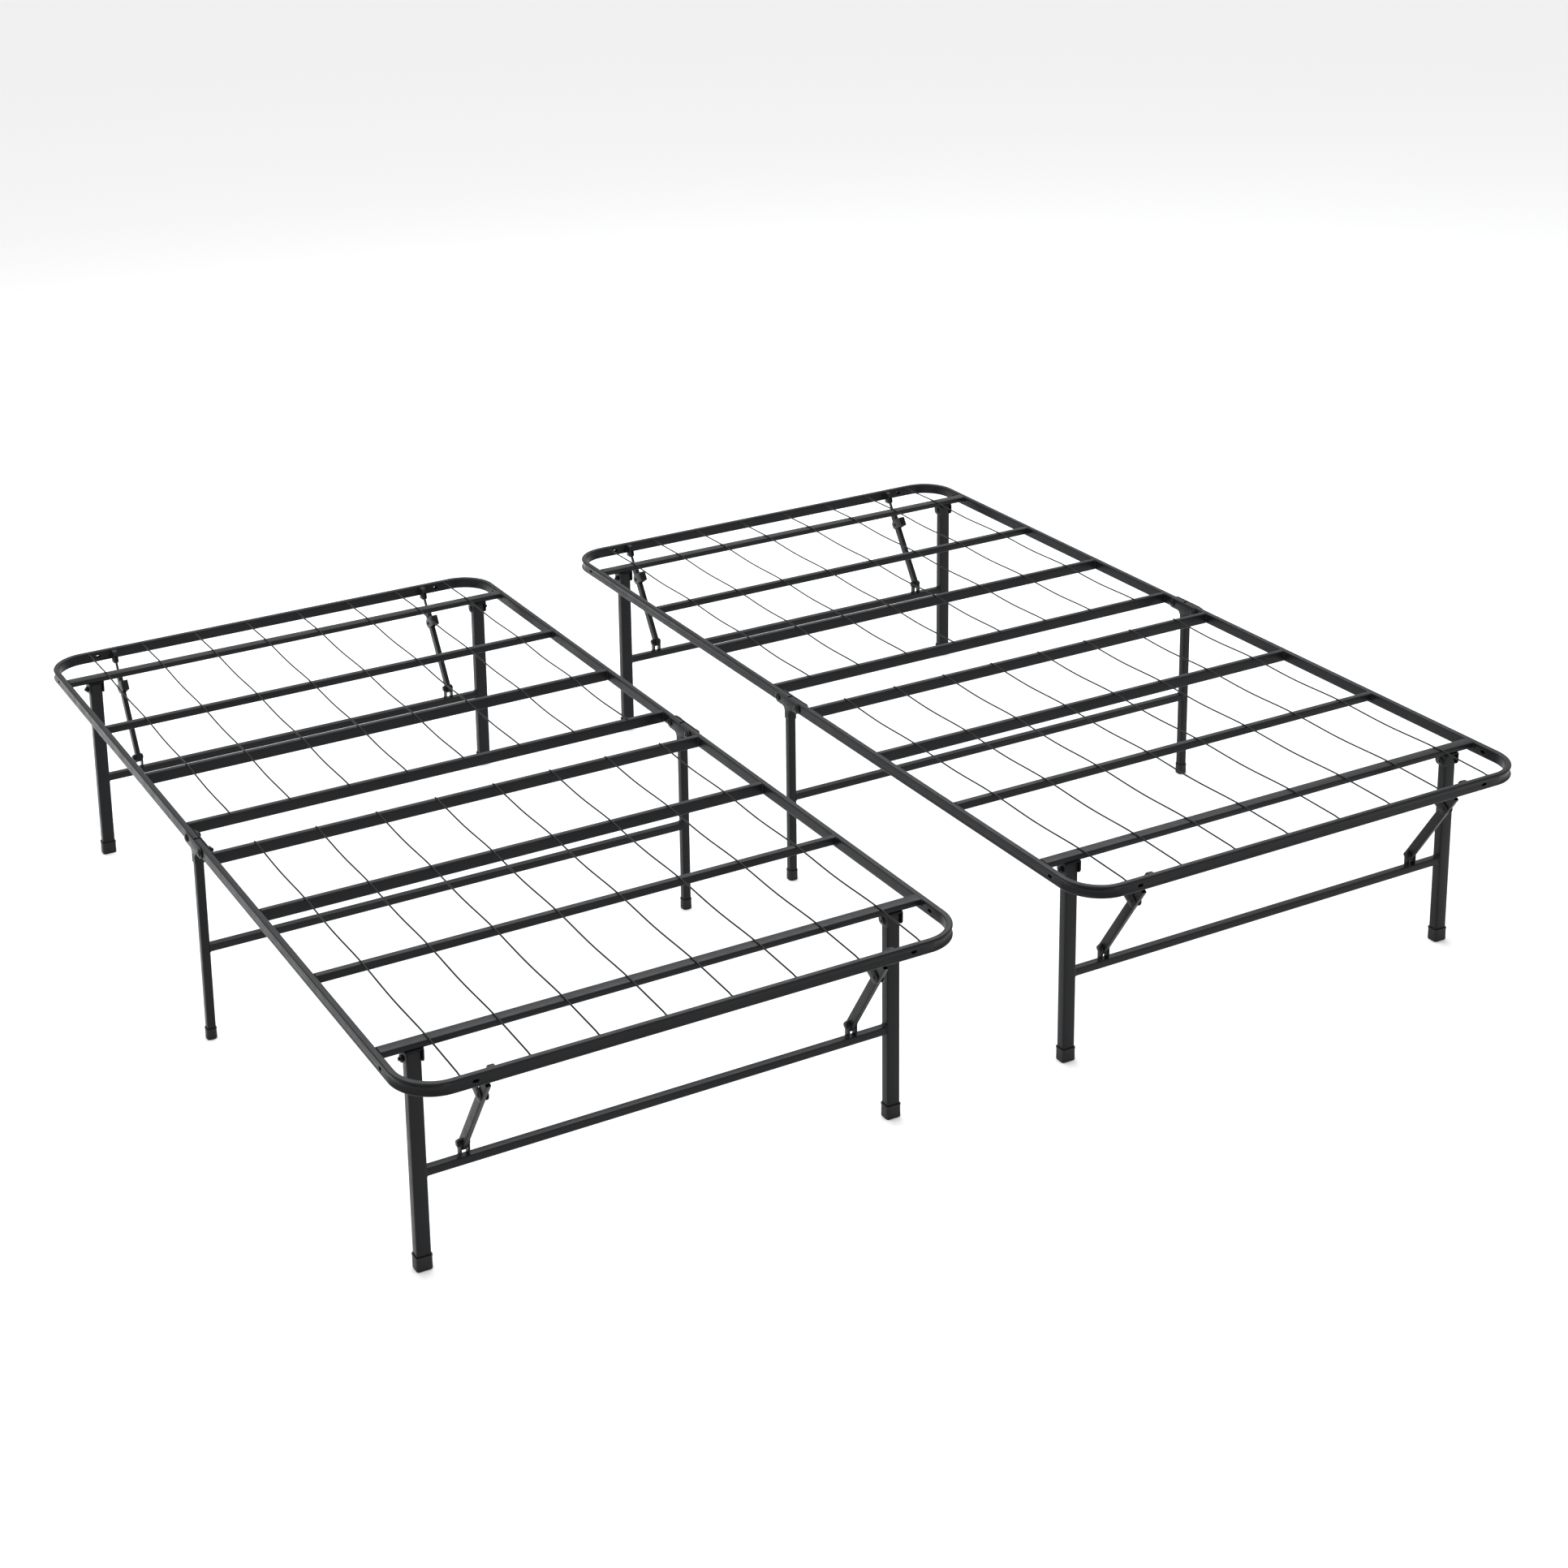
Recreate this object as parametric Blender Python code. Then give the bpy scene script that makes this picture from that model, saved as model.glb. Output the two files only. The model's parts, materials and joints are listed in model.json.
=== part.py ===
"""Two matching folding steel bed frames that stand side by side and slide together into one wide bed.

Each frame has two half decks hinged on a middle leg frame, and a folding end leg frame under each
half deck, held upright by two sliding braces with latches. X runs across the beds, Y along them.
"""
import math

import bmesh
import bpy
from mathutils import Vector

# Overall sizes of one frame
UNIT_WIDTH = 0.9906
UNIT_LENGTH = 1.905
DECK_TOP = 0.392
GAP_BETWEEN_FRAMES = 0.2314

# Deck rail: a flat-sided tube on edge, bent round both outer corners
RAIL_WIDTH = 0.0115
RAIL_HEIGHT = 0.022
TUBE_WALL = 0.0012
TUBE_CORNER = 0.0016
BEND_RADIUS = 0.075
BEND_STEPS = 5
BEND_DENT = 0.005
DENT_SPREAD = 0.7
RAIL_END_GAP = 0.0025

# Oval slots near the corners of the deck
SLOT_LENGTH = 0.011
SLOT_HEIGHT = 0.0055
END_SLOT_FROM_SIDE = 0.1103
SIDE_SLOT_FROM_END = 0.1025

# Slats, from the end of the deck to the middle
END_SLAT_FROM_END = 0.136
MIDDLE_SLAT_FROM_MIDDLE = 0.068
SLAT_GAP_GROWTH = 0.010
SLAT_WIDTHS = (0.022, 0.013, 0.0112, 0.0112)
SLAT_HEIGHTS = (0.011, 0.0145, 0.022, 0.022)
FIT_GAP = 0.0003

# Wires across the slats
WIRE_COUNT = 8
OUTER_WIRE_FROM_SIDE = 0.0903
WIRE_RADIUS = 0.0015
WIRE_SEAT = 0.0006
WIRE_SAG = 0.003
WIRE_DROP_AT_RAIL = 0.0035
WIRE_SIDES = 4

# End leg frame
LEG_FROM_SIDE = 0.0653
LEG_WIDTH = 0.025
LEG_DEPTH = 0.019
LEG_PIVOT_BELOW_TOP = 0.0255
LEG_TOP_ABOVE_PIVOT = 0.0095
LEG_PIN_RADIUS = 0.004
CROSSBAR_DEPTH = 0.015
CROSSBAR_HEIGHT = 0.014
END_CROSSBAR_TOP = 0.173
BRACKET_PLATE = 0.0022
BRACKET_DEPTH = 0.028
BRACKET_CORNER = 0.0084
BRACKET_BELOW_PIVOT = 0.0095
MOVING_GAP = 0.0005
PIN_CLEARANCE = 0.0004

# Middle leg frame
MID_LEG_WIDTH = 0.016
MID_LEG_TOP_GAP = 0.0015
MID_CROSSBAR_TOP = 0.185
HINGE_OFFSET = 0.034
HINGE_BOLT_RADIUS = 0.004
HINGE_PLATE = 0.0022
HINGE_PLATE_RADIUS = 0.0108
HINGE_STEM_DEPTH = 0.024
STEM_FLARE = 1.6
BOLT_HEAD_RADIUS = 0.0075
BOLT_HEAD_HEIGHT = 0.003
NUT_RADIUS = 0.0078
NUT_HEIGHT = 0.006
BOLT_STUB = 0.003

# Feet
FOOT_HEIGHT = 0.025
FOOT_WALL = 0.002
FOOT_BASE = 0.005
FOOT_CORNER = 0.004
MID_FOOT_HEIGHT = 0.021
MID_FOOT_CORNER = 0.006

# Braces: a flat bar above, sliding in a flat tube below
BRACE_FROM_LEG = 0.078
BRACE_TUBE_WIDTH = 0.009
BRACE_TUBE_DEPTH = 0.0175
BRACE_BAR_THICKNESS = 0.004
BRACE_BAR_DEPTH = 0.0064
BRACE_BAR_LENGTH = 0.135
BRACE_EYE_RADIUS = 0.006
BRACE_TUBE_SHORT_OF_PIN = 0.026
BRACE_TUBE_TAIL = 0.009
BRACE_PIN_RADIUS = 0.003
RAIL_PIN_FROM_FACE = 0.0112
RAIL_PIN_BELOW_TOP = 0.020
CLEVIS_PIN_ABOVE_BAR = 0.022
CLEVIS_GAP = 0.0115
CLEVIS_PLATE = 0.0025
CLEVIS_DEPTH = 0.013
CLEVIS_BOLT_SHARE = 0.75
RAIL_BRACKET_RISE = -0.0022
RAIL_BRACKET_TOP_RADIUS = 0.005
RAIL_BRACKET_EYE_RADIUS = 0.0078

# Brace latch: a channel riveted astride the tube, its grip reaching in under the deck
LATCH_FROM_PIN = 0.062
LATCH_PIN_RADIUS = 0.002
LATCH_RADIUS = 0.0105
LATCH_REACH = 0.030
LATCH_PLATE = 0.0022

# How finely round pieces are cut
PIN_SIDES = 8
ARC_STEPS = 4
SHARP_ANGLE = 35

HALVES = (("near", -1), ("far", 1))
SIDES = (("left", -1), ("right", 1))
UNITS = (("a", -0.5), ("b", 0.5))

# Finishes: colour, roughness and metallic
COAT_FINISH = ((0.010, 0.0105, 0.012), 0.4, 0.0)
DARK_FINISH = ((0.012, 0.012, 0.013), 0.35, 0.6)
PLASTIC_FINISH = ((0.008, 0.0075, 0.007), 0.6, 0.0)


def slat_stations():
    """Distances of the slats from the middle: each gap is longer than the next one inwards."""
    gaps = len(SLAT_WIDTHS) - 1
    span = UNIT_LENGTH / 2 - END_SLAT_FROM_END - MIDDLE_SLAT_FROM_MIDDLE
    stations = [MIDDLE_SLAT_FROM_MIDDLE]
    for i in range(gaps):
        stations.insert(0, stations[0] + span / gaps + (i - (gaps - 1) / 2) * SLAT_GAP_GROWTH)
    return stations


# Places worked out from the sizes above
UNIT_SPACING = UNIT_WIDTH + GAP_BETWEEN_FRAMES
LEG_X = UNIT_WIDTH / 2 - LEG_FROM_SIDE
BRACE_X = LEG_X - BRACE_FROM_LEG
END_SLOT_X = UNIT_WIDTH / 2 - END_SLOT_FROM_SIDE
SLAT_STATIONS = slat_stations()
RAIL_X = (UNIT_WIDTH - RAIL_WIDTH) / 2
RAIL_Y = (UNIT_LENGTH - RAIL_WIDTH) / 2
RAIL_MIDDLE = DECK_TOP - RAIL_HEIGHT / 2
RAIL_BOTTOM = DECK_TOP - RAIL_HEIGHT
END_FACE = UNIT_LENGTH / 2 - RAIL_WIDTH
LEG_Y = SLAT_STATIONS[0]
LEG_PIVOT = Vector((0, LEG_Y, DECK_TOP - LEG_PIVOT_BELOW_TOP))
RAIL_PIN = Vector((0, END_FACE - RAIL_PIN_FROM_FACE, DECK_TOP - RAIL_PIN_BELOW_TOP))
CLEVIS_PIN = Vector((0, LEG_Y, END_CROSSBAR_TOP + CLEVIS_PIN_ABOVE_BAR))
BRACE_LENGTH = (RAIL_PIN - CLEVIS_PIN).length
LATCH_PLACE = BRACE_LENGTH - LATCH_FROM_PIN
LATCH_PIVOT = CLEVIS_PIN + (RAIL_PIN - CLEVIS_PIN) * (LATCH_PLACE / BRACE_LENGTH)
# The bolt heads stand out on one side of a frame and the longer nuts on the other
SIDE_SHIFT = (NUT_HEIGHT + BOLT_STUB - BOLT_HEAD_HEIGHT) / 2


def clear_scene():
    for item in list(bpy.data.objects):
        bpy.data.objects.remove(item, do_unlink=True)


def make_material(name, colour, roughness, metallic):
    material = bpy.data.materials.new(name)
    material.use_nodes = True
    shader = material.node_tree.nodes["Principled BSDF"]
    shader.inputs["Base Color"].default_value = (*colour, 1)
    shader.inputs["Roughness"].default_value = roughness
    shader.inputs["Metallic"].default_value = metallic
    material.diffuse_color = (*colour, 1)
    return material


# ---- Mesh helpers ----

def rounded_outline(width, height, radius, steps=2):
    """Outline of a rectangle with rounded corners, centred, anticlockwise from its right side."""
    points = []
    for quarter, (sx, sy) in enumerate(((1, 1), (-1, 1), (-1, -1), (1, -1))):
        for step in range(steps + 1):
            angle = math.radians(90 * (quarter + step / steps))
            points.append((sx * (width / 2 - radius) + radius * math.cos(angle),
                           sy * (height / 2 - radius) + radius * math.sin(angle)))
    return points


def rectangle(width, height):
    across = width / 2
    up = height / 2
    return [(across, up), (-across, up), (-across, -up), (across, -up)]


def arc(centre, radius, first, last, steps=ARC_STEPS):
    """Points round part of a circle, between two angles in degrees."""
    turns = [math.radians(first + (last - first) * step / steps) for step in range(steps + 1)]
    return [(centre[0] + radius * math.cos(turn), centre[1] + radius * math.sin(turn)) for turn in turns]


def oval(length, width, start=0.0):
    """Outline with two round ends, whose centres are a length apart."""
    return arc((start + length, 0), width / 2, -90, 90) + arc((start, 0), width / 2, 90, 270)


def round_outline(radius, sides=PIN_SIDES):
    return arc((0, 0), radius, 0, 360, sides)[:-1]


def extrude_outline(outline, origin, across, up, start, end):
    """A closed solid: an outline on the across and up directions, pushed along their normal."""
    shape = bmesh.new()
    along = across.cross(up)
    bottom = [shape.verts.new(origin + across * u + up * v + along * start) for u, v in outline]
    face = shape.faces.new(bottom)
    pushed = bmesh.ops.extrude_face_region(shape, geom=[face])
    moved = [item for item in pushed["geom"] if isinstance(item, bmesh.types.BMVert)]
    bmesh.ops.translate(shape, verts=moved, vec=along * (end - start))
    bmesh.ops.recalc_face_normals(shape, faces=shape.faces)
    return shape


AXIS_X = Vector((1, 0, 0))
AXIS_Y = Vector((0, 1, 0))
AXIS_Z = Vector((0, 0, 1))


def bar_along_x(outline, centre, start, end):
    """Solid along X: the outline's first direction is Y and its second is Z."""
    return extrude_outline(outline, Vector((0, centre[0], centre[1])), AXIS_Y, AXIS_Z, start, end)


def bar_along_y(outline, centre, start, end):
    """Solid along Y: the outline's first direction is Z and its second is X."""
    return extrude_outline(outline, Vector((centre[0], 0, centre[1])), AXIS_Z, AXIS_X, start, end)


def bar_along_z(outline, centre, start, end):
    """Solid along Z: the outline's first direction is X and its second is Y."""
    return extrude_outline(outline, Vector((centre[0], centre[1], 0)), AXIS_X, AXIS_Y, start, end)


def loft_rings(rings):
    """A closed solid through rings of points, with flat ends."""
    shape = bmesh.new()
    loops = []
    for ring in rings:
        verts = [shape.verts.new(point) for point in ring]
        loops.append([shape.edges.new((verts[i - 1], verts[i])) for i in range(len(verts))])
        if len(loops) in (1, len(rings)):
            shape.faces.new(verts)
    for first, second in zip(loops, loops[1:]):
        bmesh.ops.bridge_loops(shape, edges=first + second)
    bmesh.ops.recalc_face_normals(shape, faces=shape.faces)
    return shape


def join_shapes(shapes):
    """Put several shapes that don't touch in one mesh."""
    whole = bmesh.new()
    for shape in shapes:
        mesh = bpy.data.meshes.new("piece")
        shape.to_mesh(mesh)
        shape.free()
        whole.from_mesh(mesh)
        bpy.data.meshes.remove(mesh)
    return whole


def combine(base, tool, operation):
    """Boolean of two shapes, which uses them up."""
    holders = []
    for shape in (base, tool):
        mesh = bpy.data.meshes.new("operand")
        shape.to_mesh(mesh)
        shape.free()
        holder = bpy.data.objects.new("operand", mesh)
        bpy.context.scene.collection.objects.link(holder)
        holders.append(holder)
    modifier = holders[0].modifiers.new("combine", "BOOLEAN")
    modifier.operation = operation
    modifier.solver = "EXACT"
    modifier.object = holders[1]
    evaluated = holders[0].evaluated_get(bpy.context.evaluated_depsgraph_get())
    result = bmesh.new()
    result.from_mesh(evaluated.to_mesh())
    evaluated.to_mesh_clear()
    for holder in holders:
        mesh = holder.data
        bpy.data.objects.remove(holder, do_unlink=True)
        bpy.data.meshes.remove(mesh)
    return result


def fuse(shapes):
    """Union of shapes that overlap one another."""
    whole = shapes[0]
    for shape in shapes[1:]:
        whole = combine(whole, shape, "UNION")
    return whole


def cut(base, tools):
    return combine(base, join_shapes(tools), "DIFFERENCE")


def face_outward(shape, outward):
    """Turn a half deck's shape, modelled on the far side, to the side it belongs on."""
    if outward < 0:
        bmesh.ops.scale(shape, vec=(1, -1, 1), verts=shape.verts)
        bmesh.ops.reverse_faces(shape, faces=shape.faces)
    return shape


def place(name, shape, material, unit_x, origin):
    """Make the object, with its origin at the joint it turns on."""
    corner = Vector((unit_x, 0, 0))
    bmesh.ops.triangulate(shape, faces=[face for face in shape.faces if len(face.verts) > 4])
    bmesh.ops.translate(shape, verts=shape.verts, vec=-origin)
    mesh = bpy.data.meshes.new(name)
    shape.to_mesh(mesh)
    shape.free()
    mesh.materials.append(material)
    item = bpy.data.objects.new(name, mesh)
    item.location = origin + corner
    bpy.context.scene.collection.objects.link(item)
    mesh.shade_smooth()
    mesh.set_sharp_from_angle(angle=math.radians(SHARP_ANGLE))
    return item


def outward_point(point, outward):
    return Vector((point.x, point.y * outward, point.z))


# ---- Half deck ----

def rail_section(dent):
    """Points of the rail's section: first value outward, second value up."""
    half = RAIL_WIDTH / 2
    tall = RAIL_HEIGHT / 2
    flat = tall - TUBE_CORNER
    floor = half - dent * BEND_DENT
    return [(half, -flat), (floor, -tall / 3), (floor, tall / 3), (half, flat), (half - TUBE_CORNER, tall),
            (TUBE_CORNER - half, tall), (-half, flat), (-half, -flat), (TUBE_CORNER - half, -tall),
            (half - TUBE_CORNER, -tall)]


def bore_section(dent):
    """The same for the hollow inside the rail."""
    half = RAIL_WIDTH / 2 - TUBE_WALL
    tall = RAIL_HEIGHT / 2 - TUBE_WALL
    floor = half - dent * BEND_DENT
    outer_side = [(half, -tall), (floor, -tall / 3), (floor, tall / 3), (half, tall)]
    return outer_side + [(-half, tall), (-half, -tall)]


def rail_sweep(section, overrun):
    """The rail's U in plan, from one middle hinge round both corners to the other."""
    reach = BEND_RADIUS - RAIL_WIDTH / 2
    stations = [(-RAIL_X, RAIL_END_GAP - overrun, 180, 0)]
    for side, first in ((-1, 180), (1, 90)):
        for step in range(BEND_STEPS + 1):
            turn = first - 90 * step / BEND_STEPS
            dent = math.sin(math.pi * step / BEND_STEPS) ** DENT_SPREAD
            stations.append((side * (RAIL_X - reach) + reach * math.cos(math.radians(turn)),
                             RAIL_Y - reach + reach * math.sin(math.radians(turn)), turn, dent))
    stations.append((RAIL_X, RAIL_END_GAP - overrun, 0, 0))
    rings = []
    for x, y, turn, dent in stations:
        out = Vector((math.cos(math.radians(turn)), math.sin(math.radians(turn)), 0))
        middle = Vector((x, y, RAIL_MIDDLE))
        rings.append([middle + out * u + AXIS_Z * v for u, v in section(dent)])
    return loft_rings(rings)


def bracket_outline(shrink):
    """Side of the rail bracket: a narrow round top by the rail and a round eye about the pin."""
    face = END_FACE + TUBE_WALL / 3 + shrink
    top = RAIL_BRACKET_TOP_RADIUS - shrink
    eye = RAIL_BRACKET_EYE_RADIUS
    outline = arc((END_FACE - RAIL_BRACKET_TOP_RADIUS, DECK_TOP + RAIL_BRACKET_RISE - top), top, 90, 180)
    outline += arc((RAIL_PIN.y, RAIL_PIN.z), eye + shrink, 150, 270)
    return [(face, DECK_TOP + RAIL_BRACKET_RISE - shrink)] + outline + [(face, RAIL_PIN.z - eye - shrink)]


def rail_bracket(x):
    """Folded strap on the end rail's inner face with the brace's upper pin across its cheeks."""
    gap = BRACE_BAR_THICKNESS / 2 + MOVING_GAP
    reach = gap + BRACKET_PLATE
    strap = bar_along_x(bracket_outline(0), (0, 0), x - reach, x + reach)
    space = bar_along_x(bracket_outline(BRACKET_PLATE), (0, 0), x - gap, x + gap)
    pin = bar_along_x(round_outline(BRACE_PIN_RADIUS), (RAIL_PIN.y, RAIL_PIN.z),
                      x - reach + BRACKET_PLATE / 2, x + reach - BRACKET_PLATE / 2)
    return fuse([combine(strap, space, "DIFFERENCE"), pin])


def make_rail():
    shapes = [rail_sweep(rail_section, 0)]
    for _, side in SIDES:
        shapes.append(rail_bracket(side * BRACE_X))
    rail = fuse(shapes)
    through = RAIL_WIDTH * 3
    slot = oval(SLOT_LENGTH - SLOT_HEIGHT, SLOT_HEIGHT, (SLOT_HEIGHT - SLOT_LENGTH) / 2)
    slot_y = UNIT_LENGTH / 2 - SIDE_SLOT_FROM_END
    cutters = []
    for _, side in SIDES:
        cutters.append(bar_along_y(slot, (side * END_SLOT_X, RAIL_MIDDLE),
                                   RAIL_Y - through, RAIL_Y + through))
        start, end = sorted((side * (RAIL_X - RAIL_WIDTH), side * (RAIL_X + RAIL_WIDTH)))
        cutters.append(bar_along_x(slot, (slot_y, RAIL_MIDDLE), start, end))
        cutters.append(bar_along_x(round_outline(HINGE_BOLT_RADIUS + PIN_CLEARANCE),
                                   (HINGE_OFFSET, RAIL_MIDDLE), start, end))
    hollow = combine(rail, rail_sweep(bore_section, TUBE_WALL), "DIFFERENCE")
    return cut(hollow, cutters)


def slat_ends():
    reach = UNIT_WIDTH / 2 - RAIL_WIDTH - FIT_GAP
    return -reach, reach


def wire_profile():
    """Places along a wire, as distance from the middle and height, from the end rail inwards."""
    seat = DECK_TOP + WIRE_RADIUS - WIRE_SEAT
    places = [(END_FACE - FIT_GAP, DECK_TOP - WIRE_DROP_AT_RAIL),
              (SLAT_STATIONS[0] + SLAT_WIDTHS[0] / 2, seat)]
    for station, following in zip(SLAT_STATIONS, SLAT_STATIONS[1:]):
        places.append((station, seat))
        places.append(((station + following) / 2, seat - WIRE_SAG))
    return places + [(SLAT_STATIONS[-1], seat)]


def make_wire(x):
    rings = []
    for y, z in wire_profile():
        ring = round_outline(WIRE_RADIUS, WIRE_SIDES)
        rings.append([Vector((x + u, y, z + v)) for u, v in ring])
    return loft_rings(rings)


def leg_bracket(x):
    """Two cheeks under the outermost slat with the leg's hinge pin across them."""
    top = DECK_TOP - SLAT_HEIGHTS[0] + TUBE_WALL / 3
    low = LEG_PIVOT.z - BRACKET_BELOW_PIVOT
    half = BRACKET_DEPTH / 2
    round_off = BRACKET_CORNER
    outline = [(LEG_Y + half, top), (LEG_Y - half, top)]
    for turn, side in ((180, -1), (270, 1)):
        outline += arc((LEG_Y + side * (half - round_off), low + round_off), round_off, turn, turn + 90, 2)
    gap = LEG_WIDTH / 2 + MOVING_GAP
    outer = gap + BRACKET_PLATE
    shapes = [bar_along_x(round_outline(LEG_PIN_RADIUS), (LEG_Y, LEG_PIVOT.z),
                          x - gap - BRACKET_PLATE / 2, x + gap + BRACKET_PLATE / 2)]
    for side in (-1, 1):
        start, end = sorted((x + side * gap, x + side * outer))
        shapes.append(bar_along_x(outline, (0, 0), start, end))
    # The bolt's head faces the middle of the bed and its nut the side rail
    away = 1 if x > 0 else -1
    nut = sorted((x + away * (outer - BRACKET_PLATE / 2), x + away * (outer + NUT_HEIGHT)))
    head = sorted((x - away * (outer - BRACKET_PLATE / 2), x - away * (outer + BOLT_HEAD_HEIGHT)))
    shapes.append(bar_along_x(round_outline(NUT_RADIUS, 6), (LEG_Y, LEG_PIVOT.z), *nut))
    shapes.append(bar_along_x(round_outline(BOLT_HEAD_RADIUS), (LEG_Y, LEG_PIVOT.z), *head))
    return shapes


def make_slats():
    start, end = slat_ends()
    solids = []
    hollows = []
    for station, width, height in zip(SLAT_STATIONS, SLAT_WIDTHS, SLAT_HEIGHTS):
        centre = (station, DECK_TOP - height / 2)
        inner = rectangle(width - 2 * TUBE_WALL, height - 2 * TUBE_WALL)
        solids.append(bar_along_x(rounded_outline(width, height, TUBE_CORNER, 1), centre, start, end))
        hollows.append(bar_along_x(inner, centre, start - TUBE_WALL, end + TUBE_WALL))
    outer = UNIT_WIDTH / 2 - OUTER_WIRE_FROM_SIDE
    wires = [make_wire(outer * (2 * i / (WIRE_COUNT - 1) - 1)) for i in range(WIRE_COUNT)]
    grid = combine(join_shapes(solids), join_shapes(wires), "UNION")
    for _, side in SIDES:
        grid = fuse([grid] + leg_bracket(side * LEG_X))
    return cut(grid, hollows)


# ---- Leg frames ----

def leg_tube(x, y, width, depth, low, high):
    return bar_along_z(rounded_outline(width, depth, TUBE_CORNER, 1), (x, y), low, high)


def leg_bore(x, y, width, depth, low, high):
    """Hollow of a leg, open at the foot."""
    outline = rectangle(width - 2 * TUBE_WALL, depth - 2 * TUBE_WALL)
    return bar_along_z(outline, (x, y), low - TUBE_WALL, high - TUBE_WALL)


def crossbar(y, top, reach):
    outline = rounded_outline(CROSSBAR_DEPTH, CROSSBAR_HEIGHT, TUBE_CORNER, 1)
    return bar_along_x(outline, (y, top - CROSSBAR_HEIGHT / 2), -reach, reach)


def crossbar_bore(y, top, reach):
    outline = rectangle(CROSSBAR_DEPTH - 2 * TUBE_WALL, CROSSBAR_HEIGHT - 2 * TUBE_WALL)
    return bar_along_x(outline, (y, top - CROSSBAR_HEIGHT / 2), -reach, reach)


def brace_clevis(x):
    """Two cheeks on the crossbar with the brace's lower pin, its head and its nut."""
    gap = CLEVIS_GAP / 2
    outer = gap + CLEVIS_PLATE
    half = CLEVIS_DEPTH / 2
    low = END_CROSSBAR_TOP - TUBE_WALL / 3
    outline = [(LEG_Y - half, low), (LEG_Y + half, low)] + arc((LEG_Y, CLEVIS_PIN.z), half, 0, 180)
    shapes = [bar_along_x(round_outline(BRACE_PIN_RADIUS), (LEG_Y, CLEVIS_PIN.z),
                          x - gap - CLEVIS_PLATE / 2, x + gap + CLEVIS_PLATE / 2)]
    for side in (-1, 1):
        start, end = sorted((x + side * gap, x + side * outer))
        shapes.append(bar_along_x(outline, (0, 0), start, end))
    shapes.append(bar_along_x(round_outline(NUT_RADIUS * CLEVIS_BOLT_SHARE, 6), (LEG_Y, CLEVIS_PIN.z),
                              x - outer - NUT_HEIGHT * CLEVIS_BOLT_SHARE, x - outer + CLEVIS_PLATE / 2))
    shapes.append(bar_along_x(round_outline(BOLT_HEAD_RADIUS * CLEVIS_BOLT_SHARE), (LEG_Y, CLEVIS_PIN.z),
                              x + outer - CLEVIS_PLATE / 2,
                              x + outer + BOLT_HEAD_HEIGHT * CLEVIS_BOLT_SHARE))
    return shapes


def make_end_legs():
    low = FOOT_BASE + FIT_GAP
    high = LEG_PIVOT.z + LEG_TOP_ABOVE_PIVOT
    solid = crossbar(LEG_Y, END_CROSSBAR_TOP, LEG_X)
    hollow = crossbar_bore(LEG_Y, END_CROSSBAR_TOP, LEG_X)
    pivots = []
    for _, side in SIDES:
        x = side * LEG_X
        solid = combine(solid, leg_tube(x, LEG_Y, LEG_WIDTH, LEG_DEPTH, low, high), "UNION")
        hollow = combine(hollow, leg_bore(x, LEG_Y, LEG_WIDTH, LEG_DEPTH, low, high), "UNION")
        pivots.append(bar_along_x(round_outline(LEG_PIN_RADIUS + PIN_CLEARANCE),
                                  (LEG_Y, LEG_PIVOT.z), x - LEG_WIDTH, x + LEG_WIDTH))
        solid = fuse([solid] + brace_clevis(side * BRACE_X))
    return cut(combine(solid, hollow, "DIFFERENCE"), pivots)


def hinge_plate_outline():
    """The two-bolt plate in side view: a round-ended bar with a stem down the leg."""
    low = RAIL_BOTTOM - HINGE_STEM_DEPTH
    stem = MID_LEG_WIDTH / 2 - TUBE_WALL
    radius = HINGE_PLATE_RADIUS
    outline = [(u, RAIL_MIDDLE + v) for u, v in oval(2 * HINGE_OFFSET, 2 * radius, -HINGE_OFFSET)]
    flare = RAIL_MIDDLE - radius - HINGE_STEM_DEPTH / 2
    return outline + [(-stem * STEM_FLARE, flare), (-stem, low), (stem, low), (stem * STEM_FLARE, flare)]


def make_middle_legs():
    low = FOOT_BASE + FIT_GAP
    high = RAIL_BOTTOM - MID_LEG_TOP_GAP
    solid = crossbar(0, MID_CROSSBAR_TOP, RAIL_X)
    hollow = crossbar_bore(0, MID_CROSSBAR_TOP, RAIL_X)
    holes = []
    for _, side in SIDES:
        x = side * RAIL_X
        solid = combine(solid, leg_tube(x, 0, MID_LEG_WIDTH, MID_LEG_WIDTH, low, high), "UNION")
        hollow = combine(hollow, leg_bore(x, 0, MID_LEG_WIDTH, MID_LEG_WIDTH, low, high), "UNION")
        gap = RAIL_WIDTH / 2 + MOVING_GAP
        for face in (-1, 1):
            start, end = sorted((x + face * gap, x + face * (gap + HINGE_PLATE)))
            solid = combine(solid, bar_along_x(hinge_plate_outline(), (0, 0), start, end), "UNION")
        for _, outward in HALVES:
            holes.append(bar_along_x(round_outline(HINGE_BOLT_RADIUS + PIN_CLEARANCE),
                                     (outward * HINGE_OFFSET, RAIL_MIDDLE),
                                     x - RAIL_WIDTH * 2, x + RAIL_WIDTH * 2))
    return cut(combine(solid, hollow, "DIFFERENCE"), holes)


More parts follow.
